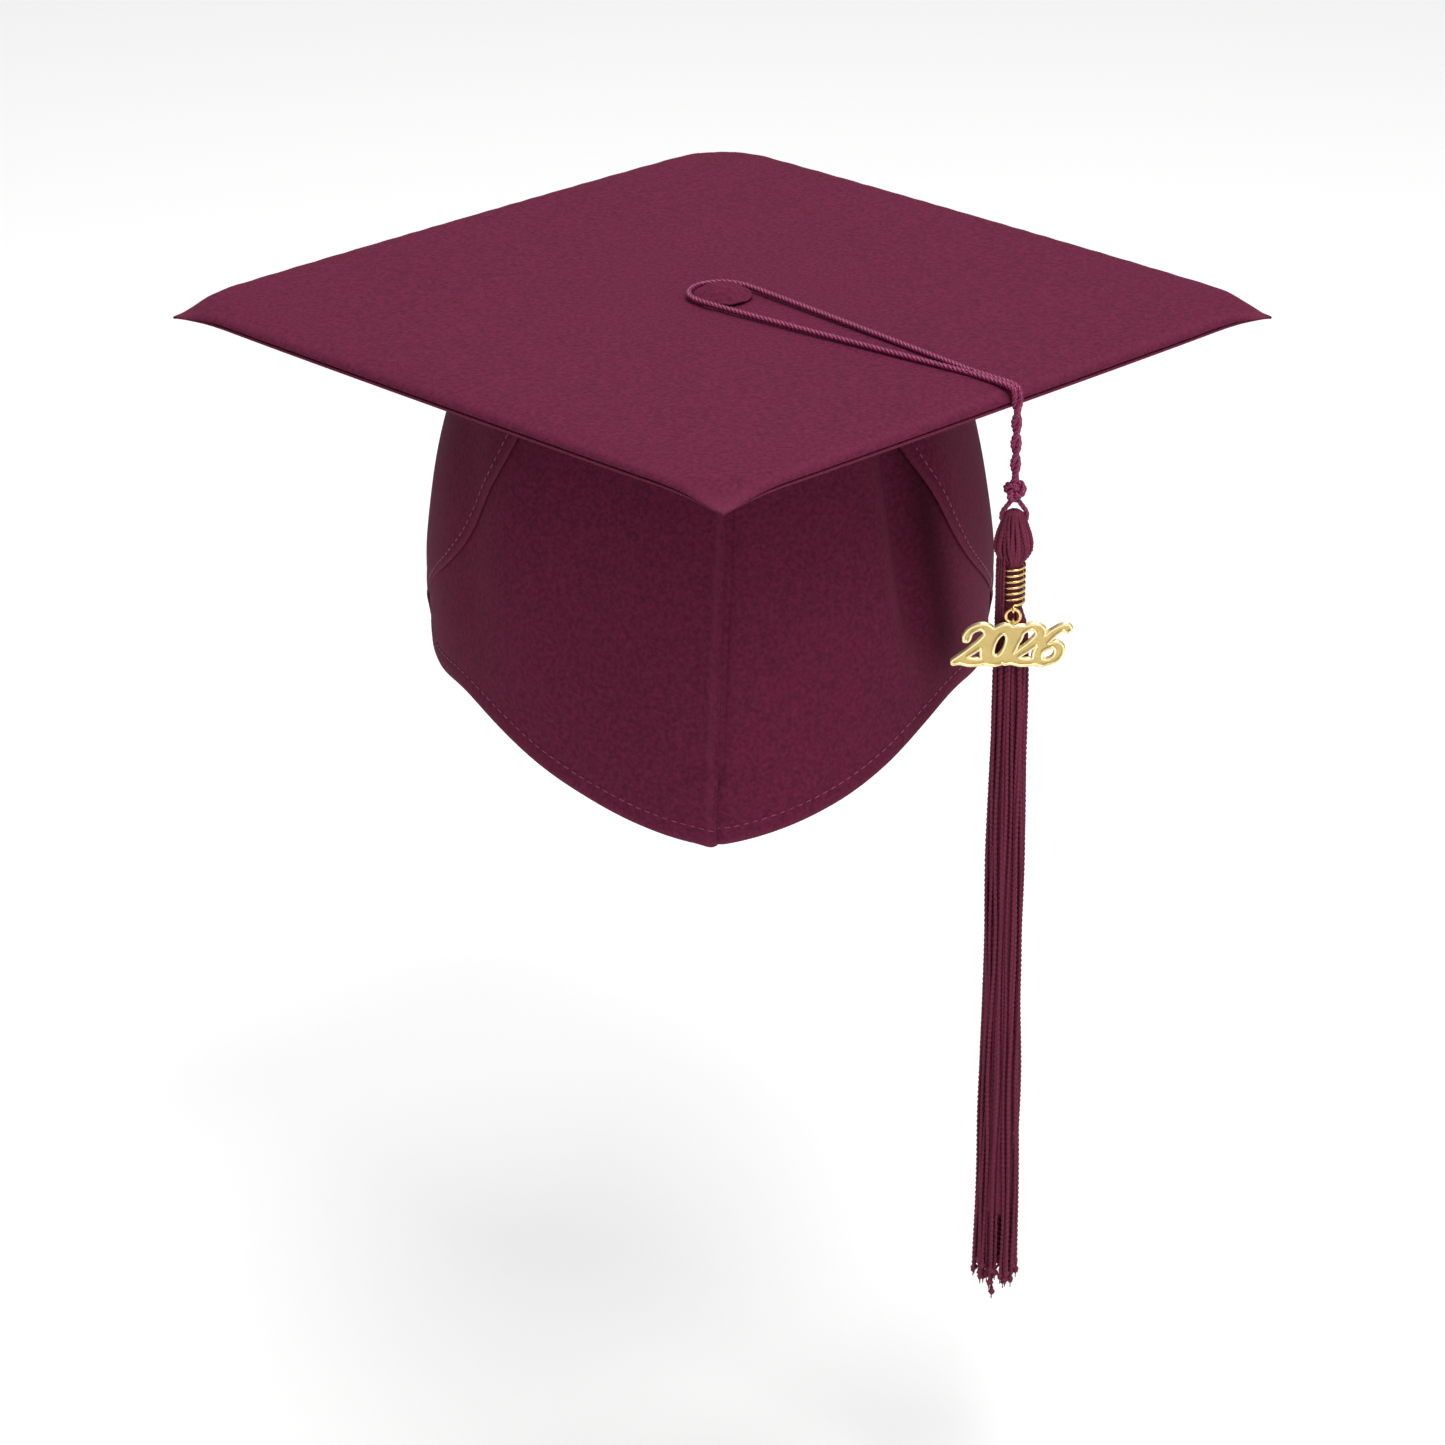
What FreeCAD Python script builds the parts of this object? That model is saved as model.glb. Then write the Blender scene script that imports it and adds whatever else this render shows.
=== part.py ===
import FreeCAD, Part
import Sketcher
import math
import os
from FreeCAD import Placement, Rotation, Vector

# Graduation cap: a padded square board on a stitched skullcap, with a covered button,
# a looped cord and a tassel that carries a wire coil and a year charm.
# The origin is the centre of the head opening, +Z is up, square to the board, and one
# corner of the board points along -Y, over the wearer's forehead. Sizes are millimetres.

DIMENSIONS = {
    # the board
    "board_side": 241.3,            # nine and a half inches
    "board_top": 110.0,             # height of the board's top above the head opening
    "fabric": 0.6,                  # one layer of the cover
    "padding": 1.6,
    "insert_thickness": 2.6,
    "seam_allowance": 0.75,         # folded cloth between the insert and the cover
    "top_cover_depth": 4.4,         # the edge seam lies this far below the top
    "corner_cut": 154.0,            # the cover's corners turn into tips here, on the diagonal
    "insert_play": 0.2,             # the card and wadding are this much smaller than the space
    "corner_play": 1.4,             # their clipped corners end this far inside the corner cut
    "tip_droop": 5.9,               # how far the cloth tips hang below the top
    "edge_round": 2.4,
    # the button
    "button_radius": 9.2,
    "button_height": 4.2,
    "shank_radius": 1.1,
    "shank_clearance": 0.15,
    "washer_radius": 7.0,
    "washer_thickness": 0.8,
    # the skullcap
    "half_width": 89.0,             # at its widest, 88 below the board's top
    "front_reach": 96.5,
    "back_reach": 94.0,
    "panel_thickness": 1.0,
    "lining_thickness": 0.6,
    "point_depth": 144.5,           # the front point, below the board's top
    "hem_depth": 103.0,             # the back hem, below the board's top
    "casing_height": 14.0,
    "back_overlap": 1.5,            # the back panel stands proud of the front panels
    "elastic_height": 8.4,
    "elastic_thickness": 0.6,
    "tape_width": 8.0,
    # the cord and the tassel
    "cord_diameter": 1.9,
    "cord_height": 1.2,             # the cord's centre above the board's top
    "hang_reach": 122.4,            # the hanging cord's distance from the button
    "knot_depth": 31.2,             # centre of the knot, below the board's top
    "knot_radius": 2.9,
    "bar_depth": 40.0,              # the cord loop's lowest bar, which the head folds over
    "head_length": 13.5,
    "head_radius": 5.2,
    "neck_radius": 2.9,
    "binding_thickness": 0.3,
    "coil_length": 13.6,
    "coil_wire": 0.8,
    "coil_turns": 6.5,
    "charm_reach": 6.3,             # the charm's plane, in front of the tassel's axis
    "ring_radius": 2.15,
    "ring_wire": 1.0,
    "eye_radius": 1.0,
    "eye_wire": 0.7,
    "charm_thickness": 1.2,
    "charm_height": 12.4,
    "skirt_end": 300.0,             # the strands' ends, below the board's top
    "skirt_radius": 6.8,
}

doc = FreeCAD.newDocument("graduation_cap")
sheet = doc.addObject("Spreadsheet::Sheet", "sheet")
for row, (alias, number) in enumerate(DIMENSIONS.items(), start=1):
    sheet.set(f"A{row}", alias)
    sheet.set(f"B{row}", str(number))
    sheet.setAlias(f"B{row}", alias)
doc.recompute()

size = {alias: float(sheet.get(alias)) for alias in DIMENSIONS}
TOP = size["board_top"]
FABRIC = size["fabric"]
CORD_RADIUS = size["cord_diameter"] / 2
UNDERSIDE = TOP - size["top_cover_depth"] - 1.0          # the board's lowest plane
DIAGONAL = math.radians(-45)                             # the tassel hangs over this edge
ALL_PIECES = []


# ---------------------------------------------------------------- document helpers

def new_body(label):
    body = doc.addObject("PartDesign::Body", label)
    body.Label = label
    ALL_PIECES.append(body)
    return body


def sketch_on(body, role, name):
    """An empty sketch on one of the body's own origin planes."""
    plane = next(f for f in body.Origin.OriginFeatures if f.Role == role)
    sketch = body.newObject("Sketcher::SketchObject", name)
    sketch.AttachmentSupport = (plane, [""])
    sketch.MapMode = "FlatFace"
    return sketch


def bind(thing, **expressions):
    """Bind properties to the sheet: a double underscore in a name stands for a dot."""
    for path, expression in expressions.items():
        thing.setExpression(path.replace("__", "."), expression)


def add_square(sketch, side):
    """A square about the sketch's origin, whose side is an expression."""
    corners = [(-50, -50), (50, -50), (50, 50), (-50, 50)]
    for k, (x, y) in enumerate(corners):
        x_next, y_next = corners[(k + 1) % 4]
        sketch.addGeometry(Part.LineSegment(Vector(x, y, 0), Vector(x_next, y_next, 0)), False)
    for k in range(4):
        sketch.addConstraint(Sketcher.Constraint("Coincident", k, 2, (k + 1) % 4, 1))
        way = "Horizontal" if k % 2 == 0 else "Vertical"
        sketch.addConstraint(Sketcher.Constraint(way, k))
    sketch.addConstraint(Sketcher.Constraint("Symmetric", 0, 1, 1, 2, -1, 1))
    for way, line in (("DistanceX", 0), ("DistanceY", 1)):
        index = sketch.addConstraint(Sketcher.Constraint(way, line, 1, line, 2, 100.0))
        sketch.setExpression(f"Constraints[{index}]", side)


def add_circle(sketch, radius, x=0.0, y=0.0):
    """A circle whose radius is an expression."""
    k = sketch.addGeometry(Part.Circle(Vector(x, y, 0), Vector(0, 0, 1), 1.0), False)
    index = sketch.addConstraint(Sketcher.Constraint("Radius", k, 1.0))
    sketch.setExpression(f"Constraints[{index}]", radius)


def pad(body, sketch, length, name="Pad"):
    feature = body.newObject("PartDesign::Pad", name)
    feature.Profile = sketch
    feature.setExpression("Length", length)
    sketch.Visibility = False
    doc.recompute()
    return feature


def pocket_up(body, sketch, length, name="Pocket"):
    """Cut upwards from the sketch's plane."""
    feature = body.newObject("PartDesign::Pocket", name)
    feature.Profile = sketch
    feature.Reversed = True
    feature.setExpression("Length", length)
    doc.recompute()
    return feature


def chamfer_upright_edges(body, base, amount, name="CornerCut"):
    upright = [
        f"Edge{k}" for k, edge in enumerate(base.Shape.Edges, start=1)
        if abs(edge.Vertexes[0].Z - edge.Vertexes[-1].Z) > 1e-6
    ]
    feature = body.newObject("PartDesign::Chamfer", name)
    feature.Base = (base, upright)
    feature.setExpression("Size", amount)
    doc.recompute()
    return feature


def shape_piece(label, shape):
    """A piece whose shape comes straight from Part's own functions."""
    piece = doc.addObject("Part::Feature", label)
    piece.Label = label
    piece.Shape = shape
    ALL_PIECES.append(piece)
    return piece


def turned_piece(label, outline, height):
    """A body turned about Z from a closed outline of (radius, height) lines and arcs.

    Each entry is a pair of points, for a line, or three points, for an arc."""
    body = new_body(label)
    sketch = sketch_on(body, "XZ_Plane", f"{label}_outline")
    for points in outline:
        corners = [Vector(r, z, 0) for r, z in points]
        edge = Part.Arc(*corners) if len(corners) == 3 else Part.LineSegment(*corners)
        sketch.addGeometry(edge, False)
    feature = body.newObject("PartDesign::Revolution", "Revolution")
    feature.Profile = sketch
    feature.ReferenceAxis = (sketch, ["V_Axis"])
    feature.Angle = 360.0
    bind(body, Placement__Base__z=height)
    doc.recompute()
    return body


def closed_lines(points):
    """The sides of a closed polygon, as pairs of points."""
    return [(a, b) for a, b in zip(points, points[1:] + points[:1])]


# ---------------------------------------------------------------- the board

def trimmed_square(side, trim, low, high):
    """An upright square block turned 45 degrees, its corners cut off at the radius trim."""
    half = side / 2
    near = trim * math.sqrt(2) - half                    # where a trimmed corner begins
    points = []
    for k in range(4):
        turn = Rotation(Vector(0, 0, 1), 45 + 90 * k)
        for x, y in ((half, -near), (half, near)):
            points.append(turn.multVec(Vector(x, y, low)))
    points.append(points[0])
    face = Part.Face(Part.makePolygon(points))
    return face.extrude(Vector(0, 0, high - low))


def full_square(side, low, high):
    block = Part.makeBox(side, side, high - low, Vector(-side / 2, -side / 2, low))
    return block.rotate(Vector(0, 0, 0), Vector(0, 0, 1), 45)


def shank_hole(low, high):
    radius = size["shank_radius"] + size["shank_clearance"]
    return Part.makeCylinder(radius, high - low, Vector(0, 0, low))


def build_insert_board():
    """The stiff card inside the board, with clipped corners and a hole for the shank."""
    body = new_body("insert_board")
    outline = sketch_on(body, "XY_Plane", "insert_outline")
    inside = ("sheet.board_side - 2 * sheet.fabric - 2 * sheet.seam_allowance"
              " - sheet.insert_play")
    add_square(outline, inside)
    base = pad(body, outline, "sheet.insert_thickness")
    chamfer_upright_edges(
        body, base, f"({inside}) - (sheet.corner_cut - sheet.corner_play) * sqrt(2)")
    hole = sketch_on(body, "XY_Plane", "shank_hole")
    add_circle(hole, "sheet.shank_radius + sheet.shank_clearance")
    pocket_up(body, hole, "sheet.insert_thickness")
    bind(body, Placement__Base__z="sheet.board_top - sheet.fabric - sheet.padding"
                                  " - sheet.insert_thickness")
    body.Placement.Rotation = Rotation(Vector(0, 0, 1), 45)


def build_board_padding():
    """Thin wadding between the card and the top cover."""
    side = size["board_side"] - 2 * FABRIC - 2 * size["seam_allowance"] - size["insert_play"]
    high = TOP - FABRIC
    low = high - size["padding"]
    wad = trimmed_square(side, size["corner_cut"] - size["corner_play"], low, high)
    shape_piece("board_padding", wad.cut(shank_hole(low, high)))


def corner_tips():
    """The four drooping cloth tips past the insert's clipped corners."""
    start = size["corner_cut"]
    end = size["board_side"] / math.sqrt(2)
    droop = size["tip_droop"]
    depth = TOP - UNDERSIDE
    side_view = [
        (start, 0.0), (start + 5.5, -0.13 * droop), (start + 11.5, -0.55 * droop),
        (end, -droop), (end, -droop - 0.8), (start + 10.0, -droop - 0.3), (start, -depth),
    ]
    points = [Vector(r, -20, TOP + z) for r, z in side_view]
    wedge = Part.Face(Part.makePolygon(points + points[:1])).extrude(Vector(0, 40, 0))
    square = full_square(size["board_side"], UNDERSIDE - 10, TOP + 1)
    tip = wedge.common(square)
    return [tip.copy().rotate(Vector(0, 0, 0), Vector(0, 0, 1), 90 * k) for k in range(4)]


def build_top_cover():
    """The upper cloth: it rolls over the board's edges and ends in the four tips."""
    seam = TOP - size["top_cover_depth"]
    block = full_square(size["board_side"], seam, TOP)
    rims = [e for e in block.Edges if all(abs(v.Z - TOP) < 1e-6 for v in e.Vertexes)]
    block = block.makeFillet(size["edge_round"], rims)
    block = block.common(trimmed_square(size["board_side"], size["corner_cut"], seam, TOP))
    hollow_side = size["board_side"] - 2 * FABRIC
    block = block.cut(trimmed_square(hollow_side, size["corner_cut"] - FABRIC, seam - 1, TOP - FABRIC))
    cover = block.multiFuse(corner_tips()).removeSplitter()
    shape_piece("top_cover", cover.cut(shank_hole(seam, TOP)))


def build_underside_cover():
    """The lower cloth: a flat sheet with a low rim that meets the top cover at the seam."""
    seam = TOP - size["top_cover_depth"]
    tray = trimmed_square(size["board_side"], size["corner_cut"], UNDERSIDE, seam)
    hollow_side = size["board_side"] - 2 * FABRIC
    hollow = trimmed_square(hollow_side, size["corner_cut"] - FABRIC, UNDERSIDE + FABRIC, seam)
    shape_piece("underside_cover", tray.cut(hollow).cut(shank_hole(UNDERSIDE, seam)))


def build_edge_seam_allowance():
    """The cloth turned in at the edge seam: a thin frame round the card."""
    outer = size["board_side"] - 2 * FABRIC - 0.1
    inner = outer - 2 * size["seam_allowance"] + 0.1
    low, high = UNDERSIDE + FABRIC, TOP - FABRIC - 0.4
    frame = trimmed_square(outer, size["corner_cut"] - FABRIC - 0.05, low, high)
    frame = frame.cut(trimmed_square(inner, size["corner_cut"] - 1.35, low - 1, high + 1))
    shape_piece("edge_seam_allowance", frame)


# ---------------------------------------------------------------- the button

def dome_arc(rim, low, crown):
    """Three points of an arc centred on the axis, from the crown out to the rim."""
    rise = crown - low
    radius = (rim * rim + rise * rise) / (2 * rise)
    half = math.asin(rim / radius) / 2
    middle = (radius * math.sin(half), crown - radius * (1 - math.cos(half)))
    return (0, crown), middle, (rim, low)


def build_button():
    """A cloth-covered dome on a plate, held through the board by a shank and a washer."""
    rim, crown = size["button_radius"], size["button_height"]
    outer = dome_arc(rim, 0.95, crown)
    middle = dome_arc(rim - 0.6, 0.9, crown - 0.5)
    inner = dome_arc(rim - 1.2, 0.9, crown - 1.0)
    turned_piece("button_cover", [
        outer,
        (outer[2], (rim, 0.25)),
        ((rim, 0.25), (rim - 1.0, 0.05)),
        ((rim - 1.0, 0.05), (rim - 1.0, 0.55)),
        ((rim - 1.0, 0.55), middle[2]),
        middle[::-1],
        (middle[0], outer[0]),
    ], "sheet.board_top")
    turned_piece("button_shell", [
        middle, (middle[2], inner[2]), inner[::-1], (inner[0], middle[0]),
    ], "sheet.board_top")
    bore = size["shank_radius"]
    turned_piece("button_back_plate", closed_lines(
        [(bore, 0.05), (rim - 1.05, 0.05), (rim - 1.05, 0.5), (rim - 1.4, 0.85), (bore, 0.85)]
    ), "sheet.board_top")
    foot = UNDERSIDE - TOP - size["washer_thickness"]
    turned_piece("button_shank", closed_lines(
        [(0, foot - 0.7), (2.2, foot - 0.5), (2.2, foot), (bore, foot), (bore, 0.85),
         (2.4, 0.85), (2.4, 1.4), (0, 1.6)]
    ), "sheet.board_top")
    washer = new_body("retaining_washer")
    outline = sketch_on(washer, "XY_Plane", "washer_outline")
    add_circle(outline, "sheet.washer_radius")
    add_circle(outline, "sheet.shank_radius")
    pad(washer, outline, "sheet.washer_thickness")
    bind(washer, Placement__Base__z="sheet.board_top - sheet.top_cover_depth - 1"
                                    " - sheet.washer_thickness")


# ---------------------------------------------------------------- the skullcap

# How far the skullcap reaches at each depth below the board's top, as shares of its
# half width, front reach and back reach.
PROFILE = [
    (0.0, 0.800, 0.790, 0.790),
    (25.0, 0.885, 0.868, 0.890),
    (55.0, 0.965, 0.942, 0.975),
    (88.0, 1.000, 0.985, 1.000),
    (118.0, 0.985, 1.000, 0.965),
    (150.0, 0.945, 0.985, 0.905),
]
RIDGE_ANGLE = math.radians(80)       # the front panels meet in a blunt ridge
HALF_STEPS = 8


def half_outline(wide, front, back, height, side):
    """One side of the skullcap at one height, from the front ridge to the back."""
    points = []
    low = math.cos(RIDGE_ANGLE)
    for k in range(HALF_STEPS):
        turn = RIDGE_ANGLE * (1 - k / HALF_STEPS)
        x = wide * (math.cos(turn) - low) / (1 - low)
        y = -front * math.sin(turn) / math.sin(RIDGE_ANGLE)
        points.append(Vector(side * x, y, height))
    for k in range(HALF_STEPS + 1):
        turn = math.radians(90) * k / HALF_STEPS
        points.append(Vector(side * wide * math.cos(turn), back * math.sin(turn), height))
    if side < 0:
        points.reverse()
    return points


def skull_solid(inset):
    """The solid inside a skin that lies inset inside the skullcap's outer face."""
    wires = []
    for depth, wide, front, back in PROFILE:
        height = TOP - depth
        reach = [size["half_width"] * wide, size["front_reach"] * front, size["back_reach"] * back]
        reach = [r - inset for r in reach]
        halves = []
        for side in (1, -1):
            curve = Part.BSplineCurve()
            curve.interpolate(half_outline(*reach, height, side))
            halves.append(curve.toShape())
        wires.append(Part.Wire(halves))
    return Part.makeLoft(wires, True, False)


def side_block(outline, x_low=-120.0, x_high=120.0):
    """A block cut through the cap from side to side, from a closed side view.

    The side view is a list of stretches of (y, depth) points: two points make a line,
    more make a smooth curve."""
    edges = []
    for stretch in outline:
        points = [Vector(x_low, y, TOP - depth) for y, depth in stretch]
        if len(points) == 2:
            edges.append(Part.LineSegment(*points).toShape())
        else:
            curve = Part.BSplineCurve()
            curve.interpolate(points)
            edges.append(curve.toShape())
    face = Part.Face(Part.Wire(edges))
    return face.extrude(Vector(x_high - x_low, 0, 0))


ROOF = TOP - UNDERSIDE               # depth of the board's underside
SIDE_SEAM = [(-56, ROOF), (-51, 42), (-38, 72), (-15, 91), (2, 104)]
SIDE_HEM = 114.0
SEWN_GAP = 0.3                       # between pieces that are sewn edge to edge
FRONT_HEM = [(2, SIDE_HEM), (-25, 112.5), (-49, 113), (-60, 118.5), (-72, 126.5),
             (-85, 135.5), (-96, 143.2), (-104, 147)]


def front_block(raise_hem=0.0, x_low=-120.0, x_high=120.0):
    """Everything in front of the side seams and above the pointed hem."""
    hem = [(y, depth - raise_hem) for y, depth in FRONT_HEM]
    return side_block([
        SIDE_SEAM,
        [SIDE_SEAM[-1], hem[0]],
        hem,
        [hem[-1], (hem[-1][0], ROOF)],
        [(hem[-1][0], ROOF), SIDE_SEAM[0]],
    ], x_low, x_high)


def back_block():
    """Behind the side seams: down to the hem at the sides, to the casing further back."""
    start = SIDE_SEAM[-1][0]
    above_casing = size["hem_depth"] - size["casing_height"] - SEWN_GAP
    return side_block([
        SIDE_SEAM,
        [SIDE_SEAM[-1], (start + 1.4, size["hem_depth"])],
        [(start + 1.4, size["hem_depth"]), (start + 1.4, above_casing)],
        [(start + 1.4, above_casing), (110, above_casing)],
        [(110, above_casing), (110, ROOF)],
        [(110, ROOF), SIDE_SEAM[0]],
    ])


def band_block(low_depth, high_depth, start):
    """A level band round the back of the cap, between two depths."""
    return Part.makeBox(240, 130, low_depth - high_depth, Vector(-120, start, TOP - low_depth))


def build_front_panels(skins):
    """Left and right front panels, each of cloth, stiff interfacing and an inner facing."""
    layers = (("panel", 0.0), ("interfacing", 3.0), ("facing", 0.4))
    for layer, (name, raised) in enumerate(layers):
        wall = skins[layer].cut(skins[layer + 1])
        for side, low, high in (("left", -120.0, 0.0), ("right", 0.0, 120.0)):
            part = wall.common(front_block(raised, low, high))
            shape_piece(f"{side}_front_{name}", part)


def build_centre_seam_tape(inner):
    """A tape that covers the raw edges of the centre front seam, inside the cap."""
    tape = inner.cut(skull_solid(size["panel_thickness"] + 2 * size["lining_thickness"] + 0.5))
    half = size["tape_width"] / 2
    shape_piece("centre_seam_tape", tape.common(front_block(6.0, -half, half)))


def build_back(thickness):
    """The back panel, and the hem casing with the elastic inside it."""
    proud = -size["back_overlap"]
    outer, inner = skull_solid(proud), skull_solid(proud + thickness)
    shape_piece("back_panel", outer.cut(inner).common(back_block()))
    hem, height = size["hem_depth"], size["casing_height"]
    start = SIDE_SEAM[-1][0] + 2.0
    thick = size["elastic_thickness"]
    tall = size["elastic_height"]
    casing = skull_solid(proud - 0.3).cut(skull_solid(proud + 2.2))
    casing = casing.common(band_block(hem, hem - height, start))
    middle = hem - height / 2
    pocket = skull_solid(proud + 0.55).cut(skull_solid(proud + 0.55 + thick + 0.2))
    pocket = pocket.common(band_block(middle + tall / 2 + 0.2, middle - tall / 2 - 0.2, start + 1.5))
    shape_piece("hem_casing", casing.cut(pocket))
    elastic = skull_solid(proud + 0.65).cut(skull_solid(proud + 0.65 + thick))
    elastic = elastic.common(band_block(middle + tall / 2, middle - tall / 2, start + 1.8))
    shape_piece("elastic_band", elastic)


def build_skullcap():
    insets = [0.0, size["panel_thickness"]]
    insets += [insets[-1] + size["lining_thickness"] * k for k in (1, 2)]
    skins = [skull_solid(inset) for inset in insets]
    build_front_panels(skins)
    build_centre_seam_tape(skins[-1])
    build_back(size["panel_thickness"])


# ---------------------------------------------------------------- the cord

# The cord's route as (out, across, up): out runs from the button to the edge that the
# tassel hangs over, across to the right of that, and up from the board's top.
LOOP_ROUTE = [
    (103.5, 1.0), (52, 6.1), (24, 8.7), (8, 10.05), (-2.6, 10.85), (-8.75, 6.9),
    (-11.1, 0.1), (-8.65, -6.8), (-2.5, -10.75), (9, -10.15), (26, -8.85), (55, -5.95),
    (103.5, -1.0),
]


def on_route(out, across, up):
    """A point of the cord's route in the cap's own frame."""
    x = out * math.cos(DIAGONAL) - across * math.sin(DIAGONAL)
    y = out * math.sin(DIAGONAL) + across * math.cos(DIAGONAL)
    return Vector(x, y, TOP + up)


def rounded_path(points):
    """Straight runs joined by tangent arcs, and the radii of those arcs."""
    edges, radii = [], []
    start = points[0]
    for before, corner, after in zip(points, points[1:], points[2:]):
        come, go = corner - before, after - corner
        turn = come.getAngle(go)
        reach = 0.45 * min(come.Length, go.Length)
        radii.append(reach / math.tan(turn / 2))
        arc_start = corner - Vector(come).normalize() * reach
        arc_end = corner + Vector(go).normalize() * reach
        inward = (arc_start + arc_end) * 0.5 - corner
        bulge = radii[-1] / math.cos(turn / 2) - radii[-1]
        middle = corner + Vector(inward).normalize() * bulge
        edges.append(Part.LineSegment(start, arc_start).toShape())
        edges.append(Part.Arc(arc_start, middle, arc_end).toShape())
        start = arc_end
    edges.append(Part.LineSegment(start, points[-1]).toShape())
    return Part.Wire(edges), radii


def cord_tube(label, points, diameter):
    """A round tube along a route, as a node of its own."""
    path, radii = rounded_path(points)
    way = points[1] - points[0]
    ring = Part.Wire(Part.makeCircle(diameter / 2, points[0], way))
    tube = path.makePipeShell([ring], True, False)
    expected = math.pi * diameter ** 2 / 4 * path.Length
    print(label, "radii", [round(r, 1) for r in radii], "length", round(path.Length, 1),
          "volume over section times length", round(tube.Volume / expected, 4))
    return shape_piece(label, tube)


def build_cords():
    """The loop on the board, the two legs over the edge, and the small loop at the end."""
    height = size["cord_height"]
    loop = [on_route(out, across, height) for out, across in LOOP_ROUTE]
    cord_tube("loop_cord", loop, size["cord_diameter"])
    reach = size["hang_reach"]
    knot_top = -size["knot_depth"] + 3.2
    for name, side in (("far_hanging_leg", 1.0), ("near_hanging_leg", -1.0)):
        route = [
            on_route(LOOP_ROUTE[0][0] + 0.3, side, height),
            on_route(reach - 9.0, side * 0.98, height + 0.05),
            on_route(reach + 0.05, side, height),
            on_route(reach + 0.1, side * 0.98, -9.0),
            on_route(reach, side, knot_top),
        ]
        cord_tube(name, route, size["cord_diameter"])


def build_knot():
    """The overhand knot, as one rounded lump, where the two legs end."""
    knot = doc.addObject("Part::Ellipsoid", "cord_knot")
    knot.Label = "cord_knot"
    bind(knot, Radius1="sheet.knot_radius + 1.1", Radius2="sheet.knot_radius",
         Radius3="sheet.knot_radius")
    knot.Placement = Placement(on_route(size["hang_reach"], 0, -size["knot_depth"]), Rotation())
    ALL_PIECES.append(knot)


def build_head_loop():
    """The small loop below the knot that the tassel's strands are folded over."""
    centre = on_route(size["hang_reach"], 0, 0)
    bar = -size["bar_depth"]
    knot_foot = -size["knot_depth"] - 3.2
    outline = [(-0.75, knot_foot), (-3.3, bar + 3.1), (-3.55, bar), (3.55, bar), (3.3, bar + 3.1),
               (0.75, knot_foot)]
    points = [centre + Vector(x, 0, up) for x, up in outline]
    cord_tube("head_loop", points, 1.6)


# ---------------------------------------------------------------- the tassel

def build_tassel_head():
    """The folded top of the tassel, with a bore for the cord loop's bar."""
    body = turned_piece("tassel_head", [
        ((0, 2.5), (1.5, 2.1), (2.15, 0.8)),
        ((2.15, 0.8), (2.3, -1.3)),
        ((2.3, -1.3), (4.4, -4.6), (5.2, -8.2)),
        ((5.2, -8.2), (4.7, -11.4), (3.6, -13.5)),
        ((3.6, -13.5), (0, -13.5)),
        ((0, -13.5), (0, 2.5)),
    ], "sheet.board_top - sheet.bar_depth")
    bore = sketch_on(body, "YZ_Plane", "bar_bore")
    add_circle(bore, "1.15")
    cut = body.newObject("PartDesign::Pocket", "BarBore")
    cut.Profile = bore
    cut.Midplane = True
    cut.Length = 20.0
    place_on_hang_line(body)


def place_on_hang_line(body):
    spot = on_route(size["hang_reach"], 0, 0)
    body.Placement.Base.x = spot.x
    body.Placement.Base.y = spot.y


def build_neck():
    """The thread wound round the strands under the coil."""
    bare, bound = size["neck_radius"], size["neck_radius"] + size["binding_thickness"]
    long = size["coil_length"] + 0.6
    body = turned_piece("neck_binding", closed_lines(
        [(bare, -long), (bound, -long), (bound, 0), (bare, 0)]
    ), "sheet.board_top - sheet.bar_depth - sheet.head_length")
    place_on_hang_line(body)


def build_skirt():
    """The hanging strands, as one closed shape from the neck to their ends."""
    start = size["bar_depth"] + size["head_length"]
    coil_foot = start + size["coil_length"] + 0.8
    end = size["skirt_end"]
    neck, wide = size["neck_radius"], size["skirt_radius"]
    outline = [
        ((0, -start), (neck, -start)),
        ((neck, -start), (neck, -coil_foot)),
        ((neck, -coil_foot), (4.6, -coil_foot - 7), (5.1, -coil_foot - 22)),
        ((5.1, -coil_foot - 22), (5.9, -(coil_foot + end) / 2), (wide, -end)),
        ((wide, -end), (0, -end)),
        ((0, -end), (0, -start)),
    ]
    place_on_hang_line(turned_piece("tassel_skirt", outline, "sheet.board_top"))


def build_coil():
    """The wire coil round the neck, its last turn ending in an eye at the front."""
    wire = size["coil_wire"]
    mean = size["neck_radius"] + size["binding_thickness"] + 0.05 + wire / 2
    top = TOP - size["bar_depth"] - size["head_length"] - 0.5
    rise = size["coil_length"] - wire - 0.5
    helix = Part.makeHelix(rise / size["coil_turns"], rise, mean)
    ring = Part.Wire(Part.makeCircle(wire / 2, Vector(mean, 0, 0), Vector(0, 1, 0)))
    coil = Part.Wire(helix.Edges).makePipeShell([ring], True, True)
    # the helix starts at +X: turn it so that its lower end is at the front
    coil.rotate(Vector(0, 0, 0), Vector(0, 0, 1), -90)
    coil.translate(Vector(0, 0, top - rise - wire / 2))
    low = top - rise - wire / 2
    reach, eye = size["charm_reach"], size["eye_radius"]
    stem = Part.makeCylinder(size["eye_wire"] / 2, reach - eye - mean, Vector(0, -mean, low),
                             Vector(0, -1, 0))
    loop = Part.makeTorus(eye, size["eye_wire"] / 2, Vector(0, -reach, low), Vector(1, 0, 0))
    shape = coil.multiFuse([stem, loop])
    spot = on_route(size["hang_reach"], 0, 0)
    shape.translate(Vector(spot.x, spot.y, 0))
    shape_piece("gold_coil", shape)
    return low


# ---------------------------------------------------------------- the charm

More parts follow.
